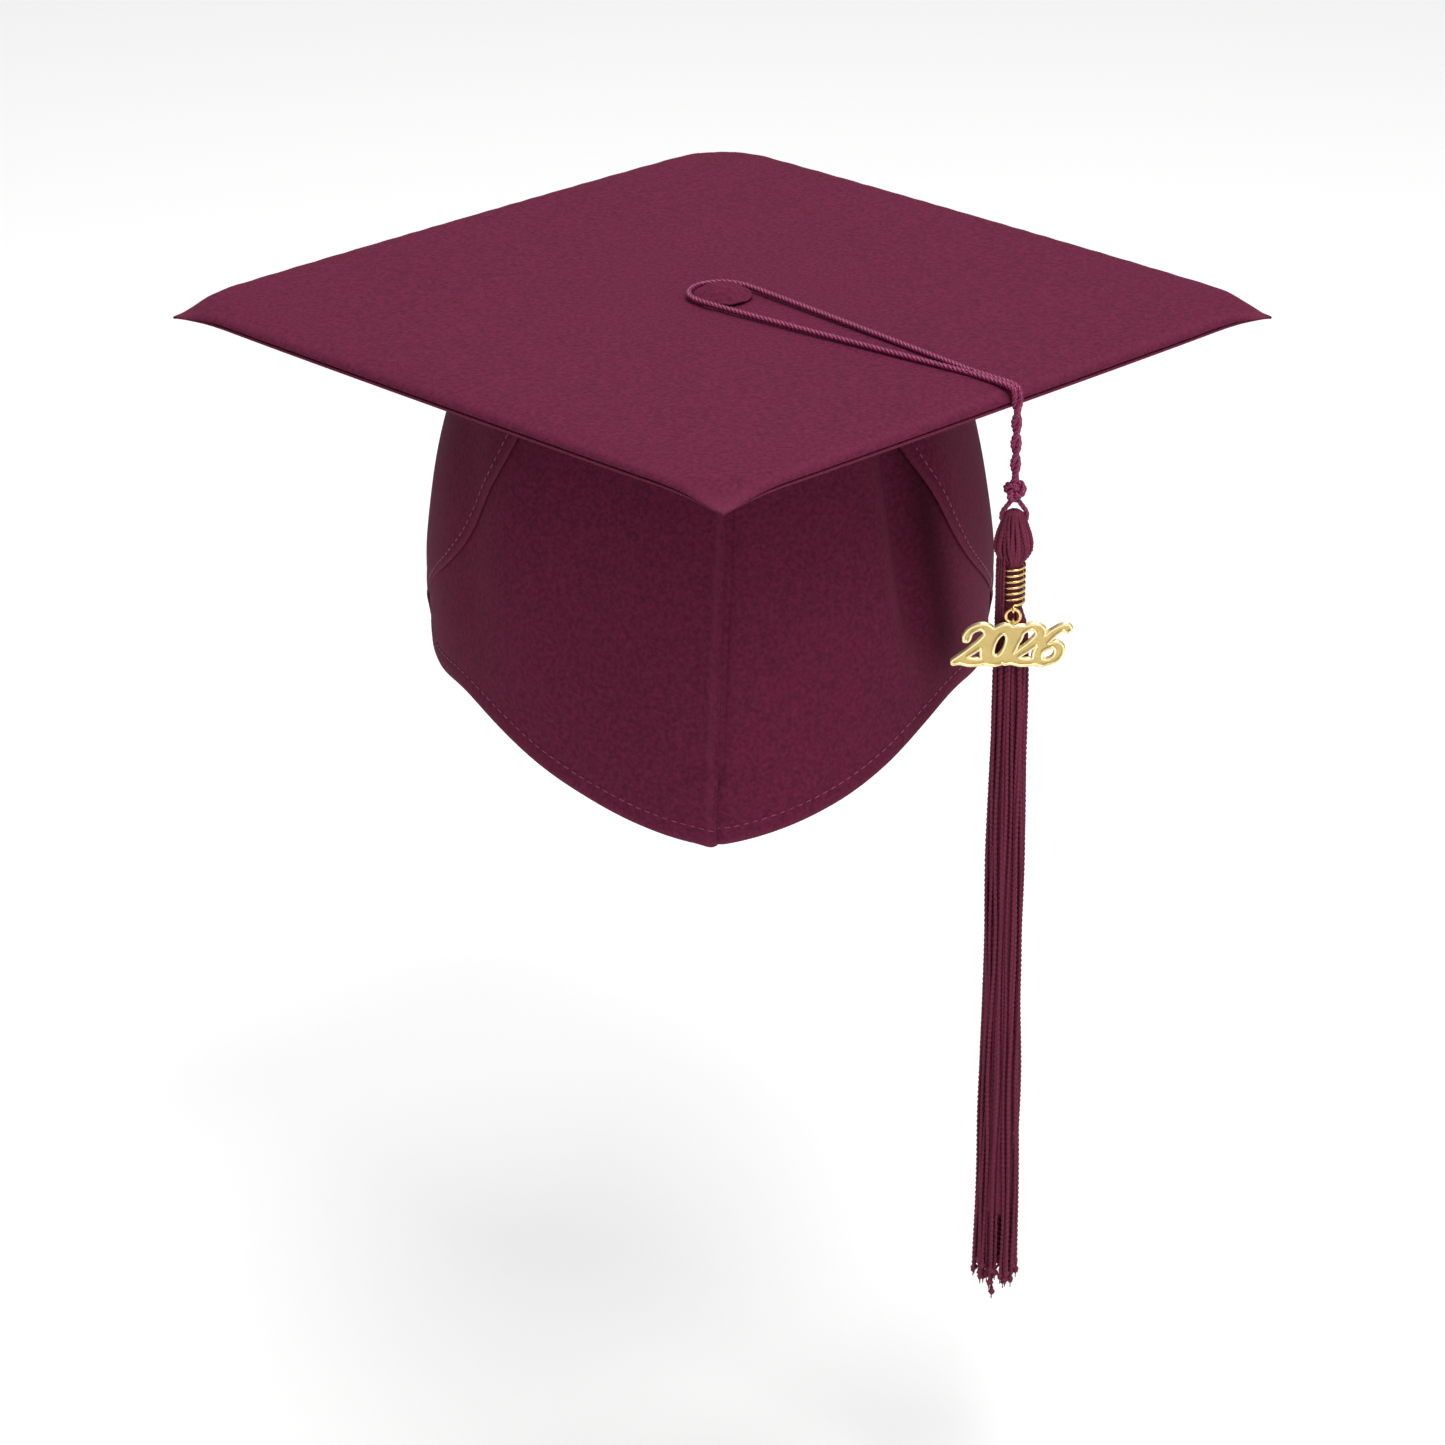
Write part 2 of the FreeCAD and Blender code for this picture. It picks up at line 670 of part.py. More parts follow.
def stroke(points, widths, steps=5):
    """The outline of a pen stroke: a smooth line through points, with a width at each."""
    line = []
    for k in range(len(points) - 1):
        a = points[max(k - 1, 0)]
        b, c = points[k], points[k + 1]
        d = points[min(k + 2, len(points) - 1)]
        for step in range(steps):
            t = step / steps
            spot = [0.5 * ((2 * b[i]) + (c[i] - a[i]) * t
                           + (2 * a[i] - 5 * b[i] + 4 * c[i] - d[i]) * t * t
                           + (3 * b[i] - a[i] - 3 * c[i] + d[i]) * t ** 3) for i in (0, 1)]
            line.append((spot[0], spot[1], widths[k] + (widths[k + 1] - widths[k]) * t))
    line.append((*points[-1], widths[-1]))
    left, right = [], []
    for k, (x, z, wide) in enumerate(line):
        x0, z0, _ = line[max(k - 1, 0)]
        x1, z1, _ = line[min(k + 1, len(line) - 1)]
        long = math.hypot(x1 - x0, z1 - z0)
        nx, nz = -(z1 - z0) / long * wide / 2, (x1 - x0) / long * wide / 2
        left.append((x + nx, z + nz))
        right.append((x - nx, z - nz))
    return left + right[::-1]


# Pen strokes of slanted numerals in a cell one unit high: points, then widths.
TWO = [
    ([(0.10, 0.70), (0.16, 0.90), (0.40, 1.00), (0.62, 0.86), (0.56, 0.62), (0.28, 0.32),
      (0.00, 0.08)], [0.14, 0.13, 0.12, 0.18, 0.20, 0.15, 0.10]),
    ([(-0.04, 0.06), (0.16, 0.13), (0.44, 0.07), (0.84, 0.10)], [0.10, 0.16, 0.15, 0.11]),
    ([(0.06, 0.70), (0.20, 0.68)], [0.14, 0.14]),
]
SIX = [
    ([(0.68, 0.88), (0.52, 0.99), (0.26, 0.78), (0.10, 0.42), (0.16, 0.12), (0.38, 0.03)],
     [0.13, 0.13, 0.18, 0.19, 0.17, 0.11]),
    ([(0.30, 0.04), (0.56, 0.16), (0.60, 0.40), (0.42, 0.54), (0.18, 0.42)],
     [0.10, 0.16, 0.17, 0.12, 0.10]),
]
SLANT = 0.30
PEN_WEIGHT = 1.15                    # bolder than the widths above
ZERO_OUTSIDE, ZERO_INSIDE = (0.43, 0.54), (0.13, 0.30)
DIGIT_PITCH = 7.7
CHARM_SHIFT = -2.42                  # hangs level: the charm's weight lies under its bail


def flat_solid(outline, thick):
    """A flat plate in the XZ plane, half of its thickness on each side."""
    points = [Vector(x, -thick / 2, z) for x, z in outline]
    face = Part.Face(Part.makePolygon(points + points[:1]))
    return face.extrude(Vector(0, thick, 0))


def digit_solids(digit, left, tall, thick):
    """The solids of one numeral whose cell starts at left."""
    def place(x, z):
        return left + (x + SLANT * z) * tall, z * tall

    if digit == "0":
        rings = []
        for wide, high in (ZERO_OUTSIDE, ZERO_INSIDE):
            turns = [math.tau * k / 28 for k in range(28)]
            ring = [place(0.36 + wide * math.cos(t), 0.52 + high * math.sin(t)) for t in turns]
            rings.append(flat_solid(ring, thick))
        return [rings[0].cut(rings[1])]
    solids = []
    for points, widths in {"2": TWO, "6": SIX}[digit]:
        outline = stroke(points, [PEN_WEIGHT * w for w in widths])
        solids.append(flat_solid([place(x, z) for x, z in outline], thick))
    return solids


def build_charm(eye_height):
    """The year charm: joined slanted numerals under a bail that the jump ring passes."""
    spot = on_route(size["hang_reach"], 0, 0)
    front = spot.y - size["charm_reach"]
    ring_centre = eye_height - size["ring_radius"]
    ring = doc.addObject("Part::Torus", "jump_ring")
    ring.Label = "jump_ring"
    bind(ring, Radius1="sheet.ring_radius", Radius2="sheet.ring_wire / 2")
    ring.Placement = Placement(Vector(spot.x, front, ring_centre), Rotation(Vector(1, 0, 0), 90))
    ALL_PIECES.append(ring)
    tall, thick = size["charm_height"], size["charm_thickness"]
    pieces = []
    for k, digit in enumerate("2026"):
        pieces += digit_solids(digit, DIGIT_PITCH * (k - 2) + CHARM_SHIFT, tall, thick)
    bail_height = ring_centre - size["ring_radius"]
    plate_top = bail_height - size["eye_radius"]
    bridge = Part.makeBox(7.0, thick, 1.7, Vector(-3.5, -thick / 2, tall - 1.5))
    plate = pieces[0].multiFuse(pieces[1:] + [bridge]).removeSplitter()
    plate.translate(Vector(spot.x, front, plate_top - tall))
    bail = Part.makeTorus(size["eye_radius"], size["eye_wire"] / 2,
                          Vector(spot.x, front, bail_height), Vector(1, 0, 0))
    charm = plate.fuse(bail)
    if len(charm.Solids) != 1:
        raise RuntimeError("the charm's numerals don't join up")
    charm = charm.Solids[0]
    shape_piece("year_charm", charm)
    print("the charm's weight lies", round(charm.CenterOfMass.x - spot.x, 2), "beside its bail")


# ---------------------------------------------------------------- build, check, export

def main():
    build_insert_board()
    build_board_padding()
    build_top_cover()
    build_underside_cover()
    build_edge_seam_allowance()
    build_button()
    build_skullcap()
    build_cords()
    build_knot()
    build_head_loop()
    build_tassel_head()
    build_neck()
    build_skirt()
    eye_height = build_coil()
    build_charm(eye_height)
    doc.recompute()
    for thing in doc.Objects:
        if "Invalid" in thing.State or "Error" in thing.State:
            raise RuntimeError(f"{thing.Label} failed: {thing.State}")
    os.makedirs("parts", exist_ok=True)
    for piece in ALL_PIECES:
        shape = piece.Shape
        if shape.isNull() or not shape.isValid():
            raise RuntimeError(f"{piece.Label} has no valid shape")
        box = shape.optimalBoundingBox(False)
        print(f"{piece.Label:24s} solids {len(shape.Solids)} volume {shape.Volume:10.1f}"
              f"  x {box.XMin:7.1f} {box.XMax:7.1f}  y {box.YMin:7.1f} {box.YMax:7.1f}"
              f"  z {box.ZMin:7.1f} {box.ZMax:7.1f}")
        shape.exportStep(os.path.join("parts", f"{piece.Label}.step"))


main()
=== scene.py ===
"""A graduation cap: a padded board on a stitched skullcap, with a covered button, a looped
cord and a tassel that carries a wire coil and a year charm. Run as a script, it builds every
cloth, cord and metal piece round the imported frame."""
import math

import bmesh
import bpy
import numpy as np
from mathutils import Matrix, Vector, noise


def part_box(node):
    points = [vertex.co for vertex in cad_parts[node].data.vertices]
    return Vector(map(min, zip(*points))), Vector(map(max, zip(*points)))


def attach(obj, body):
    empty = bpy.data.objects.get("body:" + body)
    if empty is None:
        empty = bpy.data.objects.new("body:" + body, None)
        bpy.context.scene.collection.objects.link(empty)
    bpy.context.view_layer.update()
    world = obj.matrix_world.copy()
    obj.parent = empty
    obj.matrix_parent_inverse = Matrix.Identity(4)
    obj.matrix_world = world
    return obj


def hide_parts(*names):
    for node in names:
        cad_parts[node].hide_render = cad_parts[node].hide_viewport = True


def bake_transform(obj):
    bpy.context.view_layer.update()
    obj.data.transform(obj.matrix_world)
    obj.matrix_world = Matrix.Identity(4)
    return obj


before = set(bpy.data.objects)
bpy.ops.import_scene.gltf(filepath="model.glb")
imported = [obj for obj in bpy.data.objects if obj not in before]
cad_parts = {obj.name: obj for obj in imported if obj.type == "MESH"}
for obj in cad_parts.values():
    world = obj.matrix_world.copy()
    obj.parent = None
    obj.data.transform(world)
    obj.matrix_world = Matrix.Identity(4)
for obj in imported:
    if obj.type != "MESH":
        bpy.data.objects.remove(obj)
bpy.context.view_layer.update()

bl_info = {
    "name": "Graduation Cap",
    "version": (1, 0, 0),
    "blender": (4, 5, 0),
    "location": "3D View > Sidebar > Cap",
    "description": "Builds a graduation cap with its cord, tassel and year charm",
    "category": "Object",
}

MM = 0.001

# Heights and reaches in millimetres, from the frame
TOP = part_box("top_cover")[1][2] / MM                 # the board's top
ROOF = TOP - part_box("underside_cover")[0][2] / MM    # depth of the board's underside
SPOT = [sum(c) / 2 / MM for c in zip(*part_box("tassel_skirt"))][:2]


# ---------------------------------------------------------------- sizes and colours

class CapSizes(bpy.types.PropertyGroup):
    """Sizes of the cap that a user would change."""
    cloth_thickness: bpy.props.FloatProperty(
        name="Cloth thickness", description="One layer of the cap's cloth",
        default=0.0005, min=0.0002, max=0.001, subtype="DISTANCE", unit="LENGTH", precision=5)
    hem_turn: bpy.props.FloatProperty(
        name="Hem turn-up", description="Cloth folded up inside the front hem",
        default=0.008, min=0.003, max=0.015, subtype="DISTANCE", unit="LENGTH", precision=4)
    stitch_pitch: bpy.props.FloatProperty(
        name="Stitch pitch", description="Distance from one stitch to the next",
        default=0.0029, min=0.001, max=0.006, subtype="DISTANCE", unit="LENGTH", precision=5)
    stitch_length: bpy.props.FloatProperty(
        name="Stitch length", description="Length of the thread that shows in one stitch",
        default=0.0021, min=0.0005, max=0.005, subtype="DISTANCE", unit="LENGTH", precision=5)
    gathers: bpy.props.IntProperty(
        name="Gathers", description="Folds that the elastic draws in round the back hem",
        default=34, min=8, max=80)
    cord_lay: bpy.props.FloatProperty(
        name="Cord lay", description="Length in which one strand of the cord goes once round",
        default=0.0050, min=0.002, max=0.02, subtype="DISTANCE", unit="LENGTH", precision=5)
    strand_radius: bpy.props.FloatProperty(
        name="Tassel strand radius", description="Radius of one strand of the skirt",
        default=0.00068, min=0.0003, max=0.0015, subtype="DISTANCE", unit="LENGTH", precision=5)


def colour_property(name, description, default):
    return bpy.props.FloatVectorProperty(
        name=name, description=description, default=default, min=0.0, max=1.0,
        size=3, subtype="COLOR")


class CapColours(bpy.types.PropertyGroup):
    """Colours of the cap's finishes, in linear light."""
    cloth: colour_property("Cloth", "The board and the skullcap", (0.101, 0.0126, 0.0342))
    thread: colour_property("Thread", "The topstitching", (0.165, 0.031, 0.072))
    rayon: colour_property("Rayon", "The cord and the tassel", (0.150, 0.0085, 0.042))
    gold: colour_property("Gold", "The coil, the ring and the charm's rims", (0.86, 0.62, 0.24))
    satin: colour_property("Satin gold", "The charm's face", (0.66, 0.50, 0.20))


# ---------------------------------------------------------------- mesh helpers

def link_mesh(name, points, faces, uvs=None, materials=()):
    """A mesh object from points in metres; uvs has one pair for each corner of each face."""
    mesh = bpy.data.meshes.new(name)
    mesh.from_pydata([tuple(p) for p in points], [], [tuple(int(i) for i in f) for f in faces])
    if uvs is not None:
        layer = mesh.uv_layers.new(name="UVMap")
        layer.data.foreach_set("uv", np.asarray(uvs, np.float32).ravel())
    mesh.polygons.foreach_set("use_smooth", [True] * len(mesh.polygons))
    mesh.update()
    for material in materials:
        mesh.materials.append(material)
    thing = bpy.data.objects.new(name, mesh)
    bpy.context.scene.collection.objects.link(thing)
    return thing


def grid_faces(rows, columns, close_columns=False):
    """Quads over a grid of points stored row by row."""
    wide = columns if close_columns else columns - 1
    r, c = np.meshgrid(np.arange(rows - 1), np.arange(wide), indexing="ij")
    r, c = r.ravel(), c.ravel()
    nxt = (c + 1) % columns
    return np.stack([r * columns + c, r * columns + nxt,
                     (r + 1) * columns + nxt, (r + 1) * columns + c], axis=1)


def grid_sheet(name, grid, uv, material, inside, thickness=None, close_columns=False, painted_light=None):
    """A sheet of cloth from a grid of points in millimetres, turned to face away from a point
    inside, and given its thickness by Solidify."""
    rows, columns = grid.shape[:2]
    faces = grid_faces(rows, columns, close_columns)
    flat = grid.reshape(-1, 3)
    corners = flat[faces]
    normals = np.cross(corners[:, 2] - corners[:, 0], corners[:, 3] - corners[:, 1])
    if (normals * (corners.mean(axis=1) - np.asarray(inside, float))).sum() < 0:
        faces = faces[:, ::-1]
    corner_uv = uv.reshape(-1, 2)[faces.ravel()] * MM
    sheet = link_mesh(name, flat * MM, faces, corner_uv, [material])
    # painted_light is a point attribute: positive for painted highlight, negative for painted
    # shade.
    if painted_light is not None:
        made = sheet.data.attributes.new("painted_light", "FLOAT", "POINT")
        made.data.foreach_set("value", np.asarray(painted_light, np.float32).ravel())
    if thickness:
        solid = sheet.modifiers.new("thickness", "SOLIDIFY")
        solid.thickness = thickness
        solid.offset = -1.0
    return sheet


def smooth_table(x, knots, values):
    """Values read off a table by a smooth curve through its points."""
    knots, values = np.asarray(knots, float), np.asarray(values, float)
    slopes = np.gradient(values, knots)
    x = np.clip(np.asarray(x, float), knots[0], knots[-1])
    k = np.clip(np.searchsorted(knots, x, side="right") - 1, 0, len(knots) - 2)
    gap = knots[k + 1] - knots[k]
    t = (x - knots[k]) / gap
    a, b = values[k], values[k + 1]
    return ((2 * t ** 3 - 3 * t ** 2 + 1) * a + (t ** 3 - 2 * t ** 2 + t) * gap * slopes[k]
            + (3 * t ** 2 - 2 * t ** 3) * b + (t ** 3 - t ** 2) * gap * slopes[k + 1])


def ease(x, low, high):
    """A smooth step from 0 at low to 1 at high."""
    t = np.clip((np.asarray(x, float) - low) / (high - low), 0.0, 1.0)
    return t * t * (3 - 2 * t)


def hump(x, centre, width):
    """A smooth bump of height 1 at the centre."""
    return np.exp(-((np.asarray(x, float) - centre) / width) ** 2)


def ripple(points, scale, seed):
    """Smooth noise at each point, about -1 to 1, with features of that size."""
    flat = np.asarray(points, float).reshape(-1, 3)
    shift = Vector((seed * 17.3, seed * 7.1, seed * 3.7))
    found = [noise.noise(Vector(p) / scale + shift) for p in flat.tolist()]
    return np.array(found).reshape(np.asarray(points).shape[:-1])


# ---------------------------------------------------------------- shader helpers

def new_group(name, inputs, outputs):
    tree = bpy.data.node_groups.new(name, "ShaderNodeTree")
    for label, kind, default in inputs:
        socket = tree.interface.new_socket(name=label, in_out="INPUT", socket_type=kind)
        if default is not None:
            socket.default_value = default
    for label, kind in outputs:
        tree.interface.new_socket(name=label, in_out="OUTPUT", socket_type=kind)
    return tree, tree.nodes.new("NodeGroupInput"), tree.nodes.new("NodeGroupOutput")


def node(tree, kind, inputs=(), **settings):
    """A node with its settings, and its inputs set to values or linked to sockets."""
    made = tree.nodes.new(kind)
    for key, value in settings.items():
        setattr(made, key, value)
    for key, value in dict(inputs).items():
        if isinstance(value, bpy.types.NodeSocket):
            tree.links.new(value, made.inputs[key])
        else:
            made.inputs[key].default_value = value
    return made


def maths(tree, operation, a, b=0.0, c=0.0):
    return node(tree, "ShaderNodeMath", {0: a, 1: b, 2: c}, operation=operation).outputs[0]


def weave_group():
    """Crossing threads: a height, and a mask of the threads that lie on top."""
    tree, inside, out = new_group(
        "Weave",
        [("Vector", "NodeSocketVector", None), ("Pitch", "NodeSocketFloat", 0.0005)],
        [("Height", "NodeSocketFloat"), ("Thread", "NodeSocketFloat")])
    drift = node(tree, "ShaderNodeTexNoise", {
        "Vector": inside.outputs["Vector"], "Scale": 260.0, "Detail": 2.0})
    bent = node(tree, "ShaderNodeVectorMath", {
        0: drift.outputs["Color"], 1: (0.0005, 0.0005, 0.0), 2: inside.outputs["Vector"]},
        operation="MULTIPLY_ADD")
    split = node(tree, "ShaderNodeSeparateXYZ", {0: bent.outputs[0]})
    waves, cells = [], []
    for axis in (0, 1):
        count = maths(tree, "DIVIDE", split.outputs[axis], inside.outputs["Pitch"])
        cells.append(maths(tree, "FLOOR", count))
        waves.append(maths(tree, "ABSOLUTE", maths(
            tree, "SINE", maths(tree, "MULTIPLY", count, math.pi))))
    parity = maths(tree, "FLOORED_MODULO", maths(tree, "ADD", *cells), 2.0)
    under = maths(tree, "SUBTRACT", 1.0, parity)
    warp = maths(tree, "MULTIPLY", waves[0], maths(tree, "MULTIPLY_ADD", parity, 0.6, 0.4))
    weft = maths(tree, "MULTIPLY", waves[1], maths(tree, "MULTIPLY_ADD", under, 0.6, 0.4))
    tree.links.new(maths(tree, "MAXIMUM", warp, weft), out.inputs["Height"])
    tree.links.new(parity, out.inputs["Thread"])
    return tree


def mottle_group():
    """Uneven dye and nap: broad patches, and a fine grain."""
    tree, inside, out = new_group(
        "Mottle",
        [("Vector", "NodeSocketVector", None), ("Patch Scale", "NodeSocketFloat", 22.0),
         ("Grain Scale", "NodeSocketFloat", 900.0)],
        [("Patches", "NodeSocketFloat"), ("Grain", "NodeSocketFloat")])
    for name, scale, detail in (("Patches", "Patch Scale", 3.0), ("Grain", "Grain Scale", 2.5)):
        found = node(tree, "ShaderNodeTexNoise", {
            "Vector": inside.outputs["Vector"], "Scale": inside.outputs[scale],
            "Detail": detail, "Roughness": 0.6})
        spread = node(tree, "ShaderNodeMapRange", {
            "Value": found.outputs["Fac"], "From Min": 0.3, "From Max": 0.7})
        tree.links.new(spread.outputs["Result"], out.inputs[name])
    return tree


def fibre_group():
    """Fine filaments that run along a strand: a height, and a painted glint that brightens the
    base colour. The vector's third number runs along the strand."""
    tree, inside, out = new_group(
        "Fibres",
        [("Vector", "NodeSocketVector", None), ("Slant", "NodeSocketFloat", 0.4),
         ("Count", "NodeSocketFloat", 6000.0)],
        [("Height", "NodeSocketFloat"), ("Painted Glint", "NodeSocketFloat")])
    split = node(tree, "ShaderNodeSeparateXYZ", {0: inside.outputs["Vector"]})
    across = maths(tree, "MULTIPLY_ADD", split.outputs[2], inside.outputs["Slant"],
                   split.outputs[0])
    spun = node(tree, "ShaderNodeCombineXYZ", {
        0: maths(tree, "MULTIPLY", across, inside.outputs["Count"]),
        1: maths(tree, "MULTIPLY", split.outputs[1], inside.outputs["Count"]),
        2: maths(tree, "MULTIPLY", split.outputs[2], 350.0)})
    found = node(tree, "ShaderNodeTexNoise", {
        "Vector": spun.outputs[0], "Scale": 1.0, "Detail": 2.0, "Roughness": 0.55})
    tree.links.new(found.outputs["Fac"], out.inputs["Height"])
    painted_glint = node(tree, "ShaderNodeMapRange", {
        "Value": found.outputs["Fac"], "From Min": 0.36, "From Max": 0.66})
    tree.links.new(painted_glint.outputs["Result"], out.inputs["Painted Glint"])
    return tree


def tinted(colour, factor):
    return (*[min(c * factor, 1.0) for c in colour], 1.0)


def use_group(tree, name, inputs):
    made = tree.nodes.new("ShaderNodeGroup")
    made.node_tree = bpy.data.node_groups[name]
    for key, value in inputs.items():
        if isinstance(value, bpy.types.NodeSocket):
            tree.links.new(value, made.inputs[key])
        else:
            made.inputs[key].default_value = value
    return made


def new_material(name, **constants):
    """A material with its shader's constants set, and its tree for the varying inputs."""
    material = bpy.data.materials.new(name)
    material.use_nodes = True
    tree = material.node_tree
    shader = next(n for n in tree.nodes if n.type == "BSDF_PRINCIPLED")
    for key, value in constants.items():
        shader.inputs[key.replace("_", " ")].default_value = value
    return material, tree, shader


def mix_colour(tree, factor, a, b):
    made = node(tree, "ShaderNodeMix", data_type="RGBA")
    for index, value in ((0, factor), (6, a), (7, b)):
        if isinstance(value, bpy.types.NodeSocket):
            tree.links.new(value, made.inputs[index])
        else:
            made.inputs[index].default_value = value
    return made.outputs[2]


def add_bump(tree, shader, height, strength, distance):
    bump = node(tree, "ShaderNodeBump", {
        "Strength": strength, "Distance": distance, "Height": height})
    tree.links.new(bump.outputs["Normal"], shader.inputs["Normal"])


def cloth_material(name, colour, pitch=0.00055, grain=0.55, bump=0.45):
    """Matt woven cloth: threads, nap and uneven dye. A positive painted_light attribute paints a
    highlight on folded edges and seams, and a negative one paints shade into a crease."""
    material, tree, shader = new_material(
        name, Sheen_Weight=0.015, Sheen_Roughness=0.5,
        Sheen_Tint=(0.85, 0.30, 0.48, 1.0), Specular_IOR_Level=0.07,
        Specular_Tint=(1.0, 0.6, 0.75, 1.0))
    place = node(tree, "ShaderNodeTexCoord")
    weave = use_group(tree, "Weave", {"Vector": place.outputs["UV"], "Pitch": pitch})
    mottle = use_group(tree, "Mottle", {"Vector": place.outputs["Object"],
                                        "Patch Scale": 26.0, "Grain Scale": 720.0})
    dyed = mix_colour(tree, mottle.outputs["Patches"], tinted(colour, 0.95), tinted(colour, 1.05))
    low, high = tinted(colour, 1 - grain), tinted(colour, 1 + grain)
    grained = mix_colour(tree, mottle.outputs["Grain"], low, high)
    body = mix_colour(tree, 0.6, dyed, grained)
    crossed = mix_colour(tree, maths(tree, "MULTIPLY", weave.outputs["Thread"], 0.16),
                         body, tinted(colour, 1.25))
    # Painted highlight: a positive painted_light value lightens folded edges and seams.
    painted_light = node(tree, "ShaderNodeAttribute", attribute_name="painted_light")
    painted_edge_highlight = mix_colour(tree, maths(tree, "MULTIPLY", painted_light.outputs["Fac"], 0.5), crossed,
                      (*[min(1.0, c * 1.5 + 0.012) for c in colour], 1.0))
    # Painted shade: a negative painted_light value darkens a crease.
    painted_crease_shade = mix_colour(tree, maths(tree, "MULTIPLY", painted_light.outputs["Fac"], -1.0), painted_edge_highlight,
                         tinted(colour, 0.12))
    tree.links.new(painted_crease_shade, shader.inputs["Base Color"])
    tree.links.new(maths(tree, "MULTIPLY_ADD", mottle.outputs["Grain"], 0.14, 0.74),
                   shader.inputs["Roughness"])
    height = maths(tree, "MULTIPLY_ADD", mottle.outputs["Grain"], 0.6, weave.outputs["Height"])
    add_bump(tree, shader, height, bump, 0.00012)
    return material


def rayon_material(name, colour, slant=0.4, roughness=0.27, along_uv=False):
    """Glossy twisted yarn with painted glints along its fine filaments, some strands darker."""
    material, tree, shader = new_material(
        name, Sheen_Weight=0.15, Sheen_Roughness=0.4, Sheen_Tint=(1.0, 0.45, 0.75, 1.0),
        Specular_IOR_Level=1.0, Specular_Tint=(1.0, 0.40, 0.68, 1.0))
    place = node(tree, "ShaderNodeTexCoord")
    run = place.outputs["Object"]
    if along_uv:
        split = node(tree, "ShaderNodeSeparateXYZ", {0: place.outputs["UV"]})
        run = node(tree, "ShaderNodeCombineXYZ", {
            0: split.outputs[0], 1: 0.0, 2: split.outputs[1]}).outputs[0]
    fibres = use_group(tree, "Fibres", {"Vector": run, "Slant": slant})
    mottle = use_group(tree, "Mottle", {"Vector": place.outputs["Object"],
                                        "Patch Scale": 160.0, "Grain Scale": 2600.0})
    # Painted glint: the filaments' brightness runs from a quarter to twice the yarn's colour.
    base = mix_colour(tree, fibres.outputs["Painted Glint"], tinted(colour, 0.25), tinted(colour, 2.1))
    shaded = mix_colour(tree, maths(tree, "MULTIPLY", mottle.outputs["Patches"], 0.35), base,
                        tinted(colour, 0.6))
    # tone_and_shade darkens: a random tone for each strand, and painted shade on the tassel's
    # core.
    tone_and_shade = node(tree, "ShaderNodeAttribute", attribute_name="tone_and_shade")
    varied = mix_colour(tree, tone_and_shade.outputs["Fac"], shaded, tinted(colour, 0.3))
    tree.links.new(varied, shader.inputs["Base Color"])
    tree.links.new(maths(tree, "MULTIPLY_ADD", fibres.outputs["Painted Glint"], -0.12, roughness + 0.08),
                   shader.inputs["Roughness"])
    add_bump(tree, shader, fibres.outputs["Height"], 0.5, 0.00012)
    return material


def metal_material(name, colour, roughness, scratch=0.10, grain_scale=2600.0, bump=0.08):
    """Metal with a fine satin grain and small smudges in its gloss."""
    material, tree, shader = new_material(name, Metallic=1.0, Specular_IOR_Level=0.5)
    place = node(tree, "ShaderNodeTexCoord")
    mottle = use_group(tree, "Mottle", {"Vector": place.outputs["Object"],
                                        "Patch Scale": 240.0, "Grain Scale": grain_scale})
    tree.links.new(mix_colour(tree, mottle.outputs["Patches"], tinted(colour, 0.9),
                              tinted(colour, 1.06)), shader.inputs["Base Color"])
    tree.links.new(maths(tree, "MULTIPLY_ADD", mottle.outputs["Grain"], scratch, roughness),
                   shader.inputs["Roughness"])
    add_bump(tree, shader, mottle.outputs["Grain"], bump, 0.00008)
    return material


def fibrous_material(name, colour, grain_scale, bump, roughness=0.85):
    """Wadding, card or webbing: a dull, uneven surface."""
    material, tree, shader = new_material(name, Specular_IOR_Level=0.2)
    place = node(tree, "ShaderNodeTexCoord")
    mottle = use_group(tree, "Mottle", {"Vector": place.outputs["Object"],
                                        "Patch Scale": 60.0, "Grain Scale": grain_scale})
    patched = mix_colour(tree, mottle.outputs["Patches"], tinted(colour, 0.92),
                         tinted(colour, 1.06))
    tree.links.new(mix_colour(tree, maths(tree, "MULTIPLY", mottle.outputs["Grain"], 0.4),
                              patched, tinted(colour, 0.7)), shader.inputs["Base Color"])
    tree.links.new(maths(tree, "MULTIPLY_ADD", mottle.outputs["Grain"], 0.1, roughness - 0.05),
                   shader.inputs["Roughness"])
    add_bump(tree, shader, mottle.outputs["Grain"], bump, 0.0003)
    return material


def finish(name):
    return bpy.data.materials[name]


def build_finishes(colours):
    weave_group()
    mottle_group()
    fibre_group()
    cloth_material("maroon_cloth", tuple(colours.cloth))
    cloth_material("seam_tape", tinted(colours.cloth, 0.85)[:3], pitch=0.0008, bump=0.5)
    rayon_material("twisted_rayon", tuple(colours.rayon), slant=0.0, along_uv=True)
    rayon_material("tassel_rayon", tuple(colours.rayon), slant=0.35, roughness=0.24)
    rayon_material("topstitch_thread", tuple(colours.thread), slant=0.3, roughness=0.5)
    metal_material("polished_gold", tuple(colours.gold), 0.16, scratch=0.08)
    metal_material("bright_gold", (0.98, 0.84, 0.48), 0.30)
    metal_material("satin_gold", tuple(colours.satin), 0.34, scratch=0.16, bump=0.35,
                   grain_scale=3200.0)
    metal_material("tinned_steel", (0.62, 0.62, 0.60), 0.32)
    fibrous_material("grey_card", (0.36, 0.33, 0.29), 1400.0, 0.25)
    fibrous_material("white_wadding", (0.80, 0.79, 0.76), 500.0, 0.8, roughness=0.95)
    fibrous_material("ribbed_elastic", (0.75, 0.74, 0.72), 1500.0, 0.6)


# ---------------------------------------------------------------- paths, ropes and strands

def on_route(out, across, up):
    """A point in metres: out runs from the button to the edge the tassel hangs over, across
    to the right of that, and up from the board's top."""
    half = math.sqrt(0.5)
    return ((out + across) * half * MM, (across - out) * half * MM, (TOP + up) * MM)


